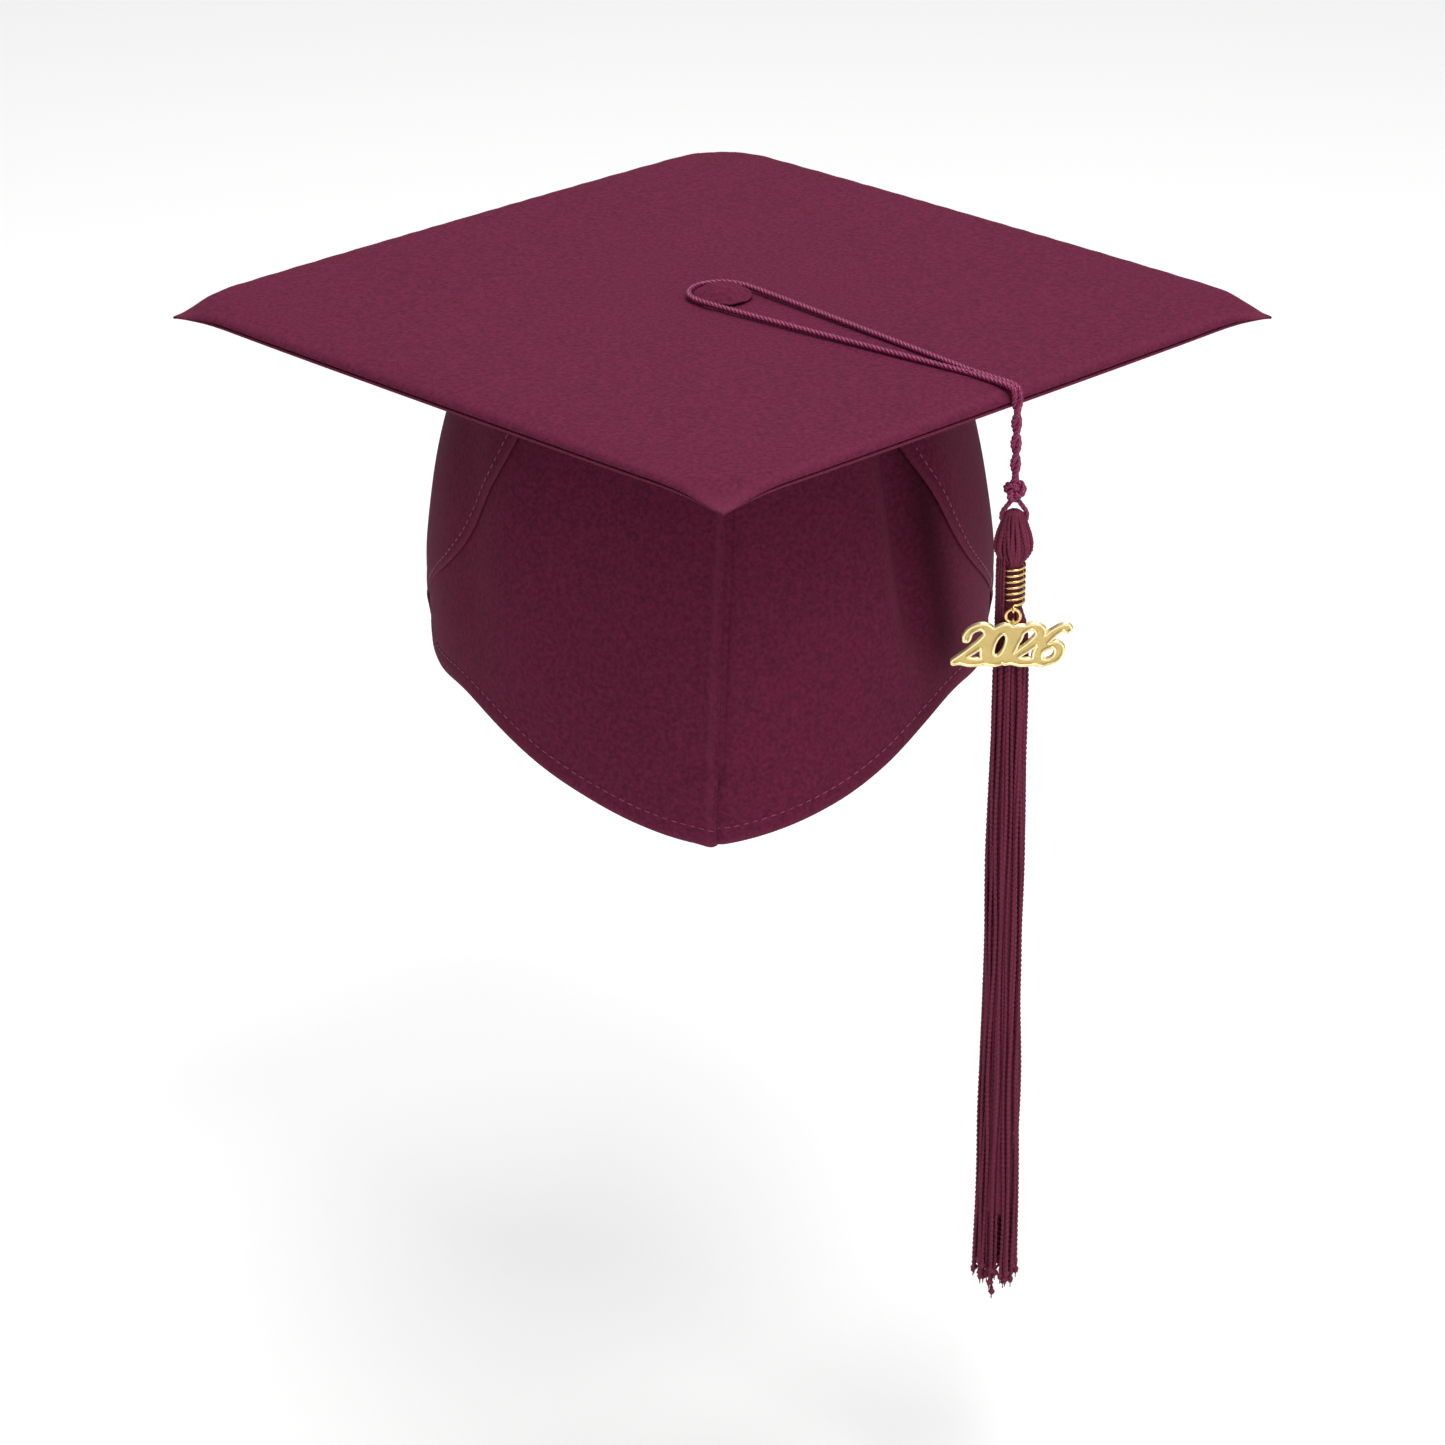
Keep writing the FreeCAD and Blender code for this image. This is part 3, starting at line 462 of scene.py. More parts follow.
def spline_line(name, points, steps=16):
    """Points read along a smooth NURBS spline through the route's own points."""
    data = bpy.data.curves.new(name, "CURVE")
    data.dimensions = "3D"
    data.resolution_u = steps
    spline = data.splines.new("NURBS")
    spline.points.add(len(points) - 1)
    for target, point in zip(spline.points, points):
        target.co = (*point, 1.0)
    spline.order_u = 3
    spline.use_endpoint_u = True
    curve = bpy.data.objects.new(name, data)
    bpy.context.scene.collection.objects.link(curve)
    bpy.context.view_layer.update()
    mesh = bpy.data.meshes.new_from_object(
        curve.evaluated_get(bpy.context.evaluated_depsgraph_get()))
    line = np.array([v.co for v in mesh.vertices], float)
    bpy.data.meshes.remove(mesh)
    bpy.data.objects.remove(curve)
    bpy.data.curves.remove(data)
    return line


def arc_lengths(line):
    gaps = np.linalg.norm(np.diff(line, axis=0), axis=1)
    return np.concatenate([[0.0], np.cumsum(gaps)])


def resampled(line, step):
    """The line at even steps along its length."""
    along = arc_lengths(line)
    count = max(3, int(round(along[-1] / step)) + 1)
    spots = np.linspace(0, along[-1], count)
    return np.stack([np.interp(spots, along, line[:, k]) for k in range(3)], axis=1)


def carried_frame(line):
    """The line's direction, and two more at right angles that turn as little as they can."""
    ahead = np.gradient(line, axis=0)
    ahead /= np.linalg.norm(ahead, axis=1)[:, None]
    side = np.cross(ahead[0], (0.0, 0.0, 1.0))
    if np.linalg.norm(side) < 0.2:
        side = np.cross(ahead[0], (0.0, 1.0, 0.0))
    sides = []
    for way in ahead:
        side = side - way * (side @ way)
        side = side / np.linalg.norm(side)
        sides.append(side)
    sides = np.array(sides)
    return ahead, sides, np.cross(ahead, sides)


def tube_parts(centres, sides, ups, radii, round_steps, along, start=0):
    """Points, faces and corner uvs of one closed tube with rounded ends."""
    turns = np.arange(round_steps) * math.tau / round_steps
    ring = (np.cos(turns)[None, :, None] * sides[:, None, :]
            + np.sin(turns)[None, :, None] * ups[:, None, :])
    points = (centres[:, None, :] + ring * radii[:, None, None]).reshape(-1, 3)
    rows = len(centres)
    quads = grid_faces(rows, round_steps, True)
    girth = float(np.median(radii)) * math.tau / round_steps
    column, row = quads[:, 0] % round_steps, quads[:, 0] // round_steps
    u = np.stack([column, column + 1, column + 1, column], axis=1) * girth
    v = np.stack([along[row], along[row], along[row + 1], along[row + 1]], axis=1)
    uvs = np.stack([u, v], axis=2).reshape(-1, 2)
    tips = []
    for index, beside in ((0, 1), (-1, -2)):
        way = centres[index] - centres[beside]
        tips.append(centres[index] + way / np.linalg.norm(way) * radii[index] * 0.55)
    points = np.vstack([points, tips])
    first, last, base = rows * round_steps, rows * round_steps + 1, (rows - 1) * round_steps
    caps, cap_uvs = [], []
    for k in range(round_steps):
        nxt = (k + 1) % round_steps
        caps += [(nxt, k, first), (base + k, base + nxt, last)]
        cap_uvs += [(0, along[0])] * 3 + [(0, along[-1])] * 3
    faces = [tuple(int(i) + start for i in f) for f in [*quads.tolist(), *caps]]
    return points, faces, np.vstack([uvs, cap_uvs])


def rope(name, line, radius, lay, material, strands=3, round_steps=8, per_lay=14, phase=0.0,
         plump=0.57):
    """A laid rope: round strands that wind about a line read from a spline."""
    line = resampled(line, lay / per_lay)
    along = arc_lengths(line)
    _, side, up = carried_frame(line)
    strand_radius = radius * plump
    offset = radius - strand_radius
    points, faces, uvs = [], [], []
    count = 0
    for k in range(strands):
        turn = along / lay * math.tau + phase + math.tau * k / strands
        out = np.cos(turn)[:, None] * side + np.sin(turn)[:, None] * up
        centres = line + out * offset
        tangent = np.gradient(centres, axis=0)
        tangent /= np.linalg.norm(tangent, axis=1)[:, None]
        across = np.cross(tangent, out)
        across /= np.linalg.norm(across, axis=1)[:, None]
        outward = np.cross(across, tangent)
        radii = np.full(len(line), strand_radius)
        p, f, u = tube_parts(centres, outward, across, radii, round_steps, along, count)
        points.append(p)
        faces += f
        uvs.append(u)
        count += len(p)
    return link_mesh(name, np.vstack(points), faces, np.vstack(uvs), [material])


# ---------------------------------------------------------------- geometry nodes

def new_node_tree(name, inputs):
    tree = bpy.data.node_groups.new(name, "GeometryNodeTree")
    tree.interface.new_socket(name="Geometry", in_out="INPUT", socket_type="NodeSocketGeometry")
    for label, kind, default in inputs:
        socket = tree.interface.new_socket(name=label, in_out="INPUT", socket_type=kind)
        if default is not None:
            socket.default_value = default
    tree.interface.new_socket(name="Geometry", in_out="OUTPUT", socket_type="NodeSocketGeometry")
    return tree, tree.nodes.new("NodeGroupInput"), tree.nodes.new("NodeGroupOutput")


def strands_tree():
    """Twisted strands along edges: each edge line becomes an oval tube that turns with its
    own twist, as two-ply yarn does, and swells with its own girth."""
    tree, inside, out = new_node_tree("Twisted Strands", [
        ("Radius", "NodeSocketFloat", 0.0007), ("Sides", "NodeSocketInt", 6),
        ("Flatness", "NodeSocketFloat", 0.62), ("Material", "NodeSocketMaterial", None)])
    girth = node(tree, "GeometryNodeInputNamedAttribute", {"Name": "girth"}, data_type="FLOAT")
    twist = node(tree, "GeometryNodeInputNamedAttribute", {"Name": "twist"}, data_type="FLOAT")
    lines = node(tree, "GeometryNodeMeshToCurve", {"Mesh": inside.outputs["Geometry"]})
    swollen = node(tree, "GeometryNodeSetCurveRadius", {
        "Curve": lines.outputs[0],
        "Radius": maths(tree, "MULTIPLY", girth.outputs[0], inside.outputs["Radius"])})
    turned = node(tree, "GeometryNodeSetCurveTilt", {
        "Curve": swollen.outputs[0], "Tilt": twist.outputs[0]})
    ring = node(tree, "GeometryNodeCurvePrimitiveCircle", {
        "Resolution": inside.outputs["Sides"], "Radius": 1.0})
    narrow = node(tree, "ShaderNodeCombineXYZ", {0: 1.0, 1: inside.outputs["Flatness"], 2: 1.0})
    oval = node(tree, "GeometryNodeTransform", {
        "Geometry": ring.outputs[0], "Scale": narrow.outputs[0]})
    tubes = node(tree, "GeometryNodeCurveToMesh", {
        "Curve": turned.outputs[0], "Profile Curve": oval.outputs[0], "Fill Caps": True})
    if "Scale" in tubes.inputs:
        own = node(tree, "GeometryNodeInputRadius")
        tree.links.new(own.outputs[0], tubes.inputs["Scale"])
    soft = node(tree, "GeometryNodeSetShadeSmooth", {"Geometry": tubes.outputs[0]})
    real = node(tree, "GeometryNodeRealizeInstances", {"Geometry": soft.outputs[0]})
    dressed = node(tree, "GeometryNodeSetMaterial", {
        "Geometry": real.outputs[0], "Material": inside.outputs["Material"]})
    tree.links.new(dressed.outputs[0], out.inputs[0])
    return tree


def stitches_tree():
    """Stitches along edges: a short thread at every pitch, aimed along the line."""
    tree, inside, out = new_node_tree("Stitches", [
        ("Pitch", "NodeSocketFloat", 0.003), ("Length", "NodeSocketFloat", 0.002),
        ("Thickness", "NodeSocketFloat", 0.0005), ("Material", "NodeSocketMaterial", None)])
    line = node(tree, "GeometryNodeMeshToCurve", {"Mesh": inside.outputs["Geometry"]})
    spaced = node(tree, "GeometryNodeResampleCurve", {
        "Curve": line.outputs[0], "Length": inside.outputs["Pitch"]}, mode="LENGTH")
    bead = node(tree, "GeometryNodeMeshUVSphere", {"Segments": 6, "Rings": 5, "Radius": 0.5})
    size = node(tree, "ShaderNodeCombineXYZ", {
        0: inside.outputs["Thickness"], 1: inside.outputs["Thickness"],
        2: inside.outputs["Length"]})
    way = node(tree, "GeometryNodeInputTangent")
    aimed = node(tree, "FunctionNodeAlignRotationToVector", {"Vector": way.outputs[0]}, axis="Z")
    laid = node(tree, "GeometryNodeInstanceOnPoints", {
        "Points": spaced.outputs[0], "Instance": bead.outputs["Mesh"],
        "Rotation": aimed.outputs[0], "Scale": size.outputs[0]})
    real = node(tree, "GeometryNodeRealizeInstances", {"Geometry": laid.outputs[0]})
    soft = node(tree, "GeometryNodeSetShadeSmooth", {"Geometry": real.outputs[0]})
    dressed = node(tree, "GeometryNodeSetMaterial", {
        "Geometry": soft.outputs[0], "Material": inside.outputs["Material"]})
    tree.links.new(dressed.outputs[0], out.inputs[0])
    return tree


def line_mesh(name, lines, attributes=None, closed=False):
    """Lines of points, in metres, as edges only, with float attributes at the points."""
    points, edges = [], []
    for line in lines:
        first = len(points)
        points += [tuple(p) for p in line]
        edges += [(first + k, first + k + 1) for k in range(len(line) - 1)]
        if closed:
            edges.append((len(points) - 1, first))
    mesh = bpy.data.meshes.new(name)
    mesh.from_pydata(points, edges, [])
    for key, values in (attributes or {}).items():
        made = mesh.attributes.new(key, "FLOAT", "POINT")
        made.data.foreach_set("value", np.concatenate(values).astype(np.float32))
    thing = bpy.data.objects.new(name, mesh)
    bpy.context.scene.collection.objects.link(thing)
    return thing


def grown(name, source, tree_name, settings):
    """The plain mesh that a node tree makes of a source, in a new object."""
    tree = bpy.data.node_groups[tree_name]
    modifier = source.modifiers.new("growth", "NODES")
    modifier.node_group = tree
    sockets = {item.name: item.identifier for item in tree.interface.items_tree
               if item.item_type == "SOCKET" and item.in_out == "INPUT"}
    for key, value in settings.items():
        modifier[sockets[key]] = value
    bpy.context.view_layer.update()
    mesh = bpy.data.meshes.new_from_object(
        source.evaluated_get(bpy.context.evaluated_depsgraph_get()))
    mesh.name = name
    lines = source.data
    bpy.data.objects.remove(source)
    bpy.data.meshes.remove(lines)
    if not mesh.polygons:
        raise RuntimeError(f"{name}: the node tree made nothing")
    thing = bpy.data.objects.new(name, mesh)
    bpy.context.scene.collection.objects.link(thing)
    return thing


# ---------------------------------------------------------------- the skullcap's surface

HALF_WIDTH, FRONT_REACH, BACK_REACH = 89.0, 96.5, 94.0
# Depth below the board's top, then shares of the half width, front reach and back reach
PROFILE = np.array([
    (0.0, 0.800, 0.790, 0.790), (25.0, 0.885, 0.868, 0.890), (55.0, 0.965, 0.942, 0.975),
    (88.0, 1.000, 0.985, 1.000), (118.0, 0.985, 1.000, 0.965), (150.0, 0.945, 0.985, 0.905)])
RIDGE = math.radians(80)
SEAM_DEPTHS = (ROOF, 42.0, 72.0, 91.0, 104.0, 109.0, 114.0)
SEAM_YS = (-56.0, -51.0, -38.0, -15.0, 2.0, 2.0, 2.0)
HEM_YS = (-104.0, -96.0, -85.0, -72.0, -60.0, -49.0, -25.0, 2.0, 8.0)
HEM_DEPTHS = (147.0, 143.2, 135.5, 126.5, 118.5, 113.2, 112.3, 109.6, 108.8)
SIDE_HEM, BACK_HEM, CASING_TOP = 109.6, 103.0, 89.0
INSIDE_CAP = (0.0, 0.0, 40.0)
FRONT_ARC, BACK_ARC = 95.0, 88.0     # cloth round the front and the back, for each radian
BACK_COLUMNS = 281                   # odd, so that one column is the middle of the back
GATHER_STRENGTH = 1.9
CREASE_SHADE = 0.62                  # how strongly painted shade darkens the right front's crease


def skull_reaches(depth, inset):
    depth = np.asarray(depth, float)
    shares = [smooth_table(depth, PROFILE[:, 0], PROFILE[:, k]) for k in (1, 2, 3)]
    return [r * s - inset for r, s in zip((HALF_WIDTH, FRONT_REACH, BACK_REACH), shares)]


def crease_at(depth):
    """Where the right panel's long slanting crease runs, in millimetres across."""
    return 55.5 + 0.155 * (depth - 25)


def soft_folds(x, depth):
    """How far the cloth falls inwards: a long fold on the right, gentler ones elsewhere."""
    long = ease(depth, 5, 22) * (1 - ease(depth, 74, 108))
    crease = crease_at(depth)
    right = 8.2 * hump(x, crease, 5.4) - 1.5 * hump(x, crease - 12, 6)
    right = right - 1.0 * hump(x, crease + 13, 6)
    left = 1.5 * hump(x, -74, 6) - 0.8 * hump(x, -60, 9) + 0.7 * hump(x, -38, 10)
    return long * (right + left)


def skull_points(turn, depth, inset, side):
    """Points on the skullcap: turn runs from the front ridge, at -80 degrees, to the back."""
    turn, depth = np.broadcast_arrays(np.asarray(turn, float), np.asarray(depth, float))
    low = math.cos(RIDGE)

    def place(in_by):
        wide, front, back = skull_reaches(depth, in_by)
        ahead = turn < 0
        x = wide * np.where(ahead, (np.cos(turn) - low) / (1 - low), np.cos(turn))
        y = np.where(ahead, front * np.sin(turn) / math.sin(RIDGE), back * np.sin(turn))
        return side * x, y

    x, _ = place(inset)
    x, y = place(inset + soft_folds(x, depth) * (turn < 0.2))
    ridge = 1.0 - 3.6 * ease(depth, 5, 147)
    x = x - 4.0 * ease(np.abs(x), 0, 80) + ridge * (1 - ease(np.abs(x), 0, 45))
    return np.stack([x, y, TOP - depth], axis=-1)


def turn_at(y, depth):
    """The turn at which the skullcap's outline passes that y."""
    _, front, back = skull_reaches(depth, 0.0)
    y = np.asarray(y, float)
    ahead = -np.arcsin(np.clip(-y * math.sin(RIDGE) / front, 0, 1))
    return np.where(y < 0, ahead, np.arcsin(np.clip(y / back, 0, 1)))


def front_layout(raise_hem, columns, rows, past_seam=2.0, past_ridge=0.0):
    """Turns and depths over one front panel, and the depth of its hem below each column."""
    v = np.linspace(0, 1, rows)[:, None]
    u = (np.linspace(0, 1, columns) ** 1.35)[None, :]
    depth_side = ROOF + v * (SIDE_HEM - raise_hem - ROOF)
    side_turn = turn_at(smooth_table(depth_side, SEAM_DEPTHS, SEAM_YS) + past_seam, depth_side)
    first = -RIDGE - past_ridge / FRONT_ARC
    turn = first + (side_turn - first) * u
    hem = np.full(columns, 130.0)
    for _ in range(6):
        _, front, back = skull_reaches(hem, 0.0)
        last = turn[-1]
        y = np.where(last < 0, front * np.sin(last) / math.sin(RIDGE), back * np.sin(last))
        hem = smooth_table(y, HEM_YS, HEM_DEPTHS) - raise_hem
    return turn, ROOF + v * (hem[None, :] - ROOF), hem


def hem_slope(turn_row, hem):
    """Cosine of the hem's slope at each column, to measure square to the edge."""
    along = (turn_row + RIDGE) * FRONT_ARC
    return 1 / np.sqrt(1 + np.gradient(hem, along) ** 2)


def front_inset(side, turn, depth, from_hem):
    """The front panel's own relief: its centre seam, its pucker and its stitched hem."""
    s = (turn + RIDGE) * FRONT_ARC
    if side < 0:
        relief = 1.4 * hump(s, -0.9, 0.8) - 0.9 * hump(s, 1.5, 2.2)
        pulled = np.exp(-s / 10)
        relief = relief + pulled * (1.7 * hump(depth, 115 + 0.45 * s, 2.6)
                                    - 1.3 * hump(depth, 121 + 0.5 * s, 3.6))
    else:
        sunk = 1 - 0.6 * ease(depth, 112, 124)
        relief = (1.9 * hump(s, 0.8, 1.2) + 0.8 * hump(s, 0, 4.5)) * sunk
        relief = relief + 0.5 * np.exp(-s / 8) * hump(depth, 117, 3.0)
    folded = 1 - ease(from_hem, 4.0, 6.0)
    return relief - 0.25 * folded + 0.28 * hump(from_hem, 5.0, 0.9)


def front_drift(points, side):
    """The front panels' uneven lie."""
    return ripple(points, 38.0, 3 + side) * 0.45 + ripple(points, 15.0, 9 + side) * 0.10


def build_front_cloth(sizes, side, name):
    """One front panel, rolled at its hem and folded up inside."""
    turn, depth, hem = front_layout(0.0, 76, 84, past_ridge=0.9 if side < 0 else 0.0)
    slope = hem_slope(turn[-1], hem)
    from_hem = (hem[None, :] - depth) * slope[None, :]
    inset = front_inset(side, turn, depth, from_hem)
    grid = skull_points(turn, depth, inset, side)
    inset = inset + front_drift(grid, side) * ease(depth, ROOF, 25)
    rows = [skull_points(turn, depth, inset, side)]
    radius = 0.85
    edge_inset, fold = inset[-1], sizes.hem_turn / MM
    for angle in (40, 80, 120, 160, 180):
        bend = math.radians(angle)
        rows.append(skull_points(turn[-1], hem + radius * math.sin(bend),
                                 edge_inset + radius * (1 - math.cos(bend)), side)[None])
    for up in (1.5, 4.0, fold - 0.4, fold):
        rows.append(skull_points(turn[-1], hem - up / slope,
                                 np.full_like(edge_inset, 2 * radius - 0.1), side)[None])
    grid = np.concatenate(rows)
    from_ridge = (turn + RIDGE) * FRONT_ARC
    extra = len(grid) - len(depth)
    along = np.concatenate([from_ridge, np.repeat(from_ridge[-1:], extra, axis=0)])
    down = np.concatenate([depth, hem[None] + np.linspace(0.3, fold + 3, extra)[:, None]])
    # Painted highlight on the hem's edge and the left panel's ridge; the hem's roll and turn-up
    # are lightened too.
    edges = 0.8 * hump(from_hem, 0, 1.0) + 0.5 * hump(from_ridge, 1.6, 0.8) * (side < 0)
    painted_light = np.concatenate([edges, np.full((extra, grid.shape[1]), 0.4)])
    # Painted shade darkens the right panel's long crease, beside the fold's own relief.
    painted_crease_shade = hump(grid[:len(depth), :, 0], crease_at(depth) + 2.5, 5.5) * (side > 0)
    painted_light[:len(depth)] -= CREASE_SHADE * painted_crease_shade * ease(depth, 5, 30) * (1 - ease(depth, 92, 116))
    cloth = grid_sheet(name, grid, np.stack([along * side, down], axis=-1),
                       finish("maroon_cloth"), INSIDE_CAP, sizes.cloth_thickness, painted_light=painted_light)
    half = "left" if side < 0 else "right"
    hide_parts(f"{half}_front_panel")
    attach(cloth, "cap")
    return cloth


def build_front_lining(side, name):
    """The stiffened lining inside one front panel."""
    turn, depth, _ = front_layout(6.5, 40, 40, past_seam=-0.5)
    inset = 1.0 + ripple(skull_points(turn, depth, 1.0, side), 30.0, 21 + side) * 0.12
    grid = skull_points(turn, depth, inset, side)
    uv = np.stack([(turn + RIDGE) * FRONT_ARC, depth], axis=-1)
    lining = grid_sheet(name, grid, uv, finish("maroon_cloth"), INSIDE_CAP, 0.0007)
    half = "left" if side < 0 else "right"
    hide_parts(f"{half}_front_facing", f"{half}_front_interfacing")
    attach(lining, "cap")
    return lining


def build_ridge_tape():
    """The tape over the raw edges of the centre front seam, inside the cap."""
    depths = np.linspace(ROOF, 136.5, 60)
    rows = []
    for depth in depths:
        row = []
        for x in np.linspace(-4, 4, 13):
            turn = -RIDGE + abs(x) / 88.0
            lift = 2.3 + 0.25 * hump(x, 0, 1.2) - 0.12 * (abs(x) > 3.2)
            row.append(skull_points(turn, depth, lift, -1 if x < 0 else 1))
        rows.append(row)
    grid = np.array(rows)
    across, down = np.meshgrid(np.linspace(-4, 4, 13), depths)
    tape = grid_sheet("ridge_seam_tape", grid, np.stack([across, down], axis=-1),
                      finish("seam_tape"), INSIDE_CAP, 0.0004)
    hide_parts("centre_seam_tape")
    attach(tape, "cap")
    return tape


# ---------------------------------------------------------------- the back of the skullcap

BACK_PROUD = -1.5


def back_columns(count):
    """Places round the back, from the left seam at -1 over the middle to the right at 1."""
    spread = np.linspace(-1, 1, count)
    return np.sign(spread) * np.abs(spread) ** 0.9


def gathers(turn, side, depth, count, strength=1.0):
    """The folds that the elastic draws in: deepest at the hem, fading up the back."""
    around = side * (math.pi / 2 - turn)
    wander = np.array([noise.noise(Vector((float(a) * 2.2, 0.0, 5.0)))
                       for a in np.ravel(around)]).reshape(np.shape(around))
    wave = (0.5 + 0.5 * np.cos(around * count * 2.0 + 9.0 * wander)) ** 1.3
    broad = 0.5 + 0.5 * np.cos(around * count * 0.62 + 5.0 * wander + 1.0)
    uneven = 0.75 + 0.6 * np.abs(wander)
    behind = ease(turn, 0.10, 0.50)
    high = ease(depth, 46, 97)
    return strength * behind * uneven * (0.72 * wave * ease(depth, 68 - 22 * broad, 95)
                                         + 0.45 * broad * high)


def back_proud(from_edge, depth):
    """How far the back stands out: least at the side seams."""
    return BACK_PROUD * (0.42 + 0.58 * ease(from_edge, 4, 30) * ease(depth, 60, 98))


def hem_dip(from_edge, depth):
    """How far the back's hem dips near the side seams, to meet the front panels' hem."""
    return 6.4 * (1 - ease(from_edge, 0, 34)) * ease(depth, 66, BACK_HEM)


def hem_tuck(from_edge, depth):
    """How far the back draws in behind the seam near the hem."""
    return 0.42 * (1 - ease(from_edge, 1.0, 12.0)) * ease(depth, 74, 96)


def back_turns(spots, depth):
    """The turn at each place round the back, at each depth."""
    depth = np.asarray(depth, float)
    first = turn_at(smooth_table(depth, SEAM_DEPTHS, SEAM_YS), depth)
    return first, first + (math.pi / 2 - first) * (1 - np.abs(spots))


def build_back_cloth(sizes):
    """The back panel and its gathered hem casing, as one cloth."""
    count, rows = BACK_COLUMNS, 70
    spots = back_columns(count)[None, :]
    side = np.where(spots < 0, -1.0, 1.0)
    depth = np.linspace(ROOF, BACK_HEM, rows)[:, None]
    first, turn = back_turns(spots, depth)
    from_edge = (turn - first) * BACK_ARC
    casing = np.clip((depth - CASING_TOP) / (BACK_HEM - CASING_TOP), 0, 1)
    dipped = depth + hem_dip(from_edge, depth)
    first, turn = back_turns(spots, dipped)
    inset = back_proud(from_edge, depth)
    inset = inset - 0.16 * hump(from_edge, 1.6, 1.4) + 0.16 * hump(from_edge, 4.2, 0.8)
    inset = inset - 0.8 * np.sin(casing * math.pi) ** 0.7
    inset = inset + 0.45 * hump(depth, CASING_TOP - 0.4, 0.9)
    folds = gathers(turn, side, depth, sizes.gathers, GATHER_STRENGTH)
    inset = inset - folds + hem_tuck(from_edge, depth)
    base = skull_points(turn, dipped, inset, side)
    inset = inset + (ripple(base, 34.0, 5) * 0.5) * ease(depth, ROOF, 25) * ease(from_edge, 0, 12)
    body = skull_points(turn, dipped, inset, side)

    radius = 0.8
    tail = []
    hem_inset, last, lower = inset[-1], turn[-1], dipped[-1] - BACK_HEM
    for angle in (45, 90, 135, 180):
        bend = math.radians(angle)
        tail.append(skull_points(last, BACK_HEM + lower + radius * math.sin(bend),
                                 hem_inset + radius * (1 - math.cos(bend)), side[0])[None])
    inner = gathers(last, side[0], BACK_HEM, sizes.gathers, 0.8)
    for low, in_by in ((102.0, 0.2), (98.0, 0.5), (94.0, 0.5), (90.5, 0.2), (CASING_TOP, -0.5)):
        tail.append(skull_points(last, low + lower, in_by - inner + 0.5, side[0])[None])
    grid = np.concatenate([body, *tail])

    down = np.concatenate([depth[:, 0], BACK_HEM + np.linspace(0.5, 15, len(tail))])
    along = (math.pi / 2 - turn) * side * BACK_ARC
    along = np.concatenate([along, np.repeat(along[-1:], len(tail), axis=0)])
    uv = np.stack([along, np.repeat(down[:, None], count, axis=1)], axis=-1)
    # Painted highlight: a light line along the side seam's edge, and a paler rolled hem.
    painted_light = np.concatenate([0.9 * hump(from_edge, 0.6, 0.9),
                           np.full((len(tail), count), 0.2)])
    cloth = grid_sheet("back_cloth", grid, uv, finish("maroon_cloth"), INSIDE_CAP,
                       sizes.cloth_thickness, painted_light=painted_light)
    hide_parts("back_panel", "hem_casing")
    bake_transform(cloth)
    return cloth


def build_elastic(sizes):
    """The flat elastic inside the hem casing."""
    low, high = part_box("elastic_band")
    depths = np.linspace(TOP - high[2] / MM, TOP - low[2] / MM, 12)[:, None]
    spots = back_columns(221)[None, :] * 0.985
    side = np.where(spots < 0, -1.0, 1.0)
    start = turn_at(np.full(1, 6.2), np.full(1, BACK_HEM))[0]
    turn = np.repeat(start + (math.pi / 2 - start) * (1 - np.abs(spots)), len(depths), axis=0)
    inset = BACK_PROUD + 0.7 - 0.35 * gathers(turn, side, 100.0, sizes.gathers)
    lower = hem_dip((turn - start) * BACK_ARC, 100.0)
    grid = skull_points(turn, depths + lower, inset, side)
    uv = np.stack([turn * side * BACK_ARC, np.broadcast_to(depths, turn.shape)], axis=-1)
    band = grid_sheet("hem_elastic", grid, uv, finish("ribbed_elastic"), INSIDE_CAP, 0.0005)
    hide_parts("elastic_band")
    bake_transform(band)
    return band


# ---------------------------------------------------------------- the board

# How far the cloth tips droop past the trimmed corners, and how thick the edge is there
TIP_REACH = (0.0, 150.0, 154.0, 159.5, 165.5, 170.6)
TIP_DROOP = (0.0, 0.0, 0.12, 0.9, 3.4, 6.0)
TIP_THICK = (5.4, 5.4, 5.2, 4.6, 2.8, 0.9)


def square_ring(reach, per_side):
    """One ring of a square turned 45 degrees, its points closer together at the corners."""
    s = np.sin(np.linspace(-1, 1, per_side + 1)[:-1] * math.pi / 2)
    p, q = [], []
    for k in range(4):
        c, d = math.cos(math.pi / 2 * k), math.sin(math.pi / 2 * k)
        p.append(reach * (c - s * d))
        q.append(reach * (d + s * c))
    return np.concatenate(p), np.concatenate(q)


def board_grid(rings, per_side, ruffle):
    """Points in millimetres of a cloth over the board, from rings of (reach, fall)."""
    grid, uv = [], []
    for reach, fall in rings:
        p, q = square_ring(reach, per_side)
        far = np.hypot(p, q)
        droop = smooth_table(far, TIP_REACH, TIP_DROOP)
        thick = smooth_table(far, TIP_REACH, TIP_THICK) / 5.4
        half = math.sqrt(0.5)
        x, y = (p + q) * half, (q - p) * half
        spots = np.stack([x, y, np.zeros_like(x)], axis=1)
        swell = ruffle(spots, p, q, reach)
        grid.append(np.stack([x, y, TOP - droop - fall * thick + swell], axis=1))
        uv.append(np.stack([p, q], axis=1))
    return np.array(grid), np.array(uv)


def top_ruffle(spots, p, q, reach):
    """Slack in the top cloth: broad swells, edge puckers and creases round the button."""
    slack = ripple(spots, 62.0, 2) * 0.42 + ripple(spots, 24.0, 4) * 0.12
    inner = 1 - ease(reach, 108, 119)
    along = np.where(np.abs(p) > np.abs(q), q, p)
    edge = 0.10 * np.sin(along / 1.7 + 3 * np.sin(along / 23.0)) * hump(reach, 117.5, 2.5)
    far = np.hypot(p, q)
    bearing = np.arctan2(q, p)
    creases = -0.30 * hump(far, 11.0, 7.0) * (0.6 + 0.4 * np.cos(bearing * 7 + far / 5))
    folds = -0.5 * np.abs(np.sin(bearing * 2)) ** 60 * ease(far, 152, 166)
    return (0.8 * slack - 0.3) * inner + edge + creases + folds


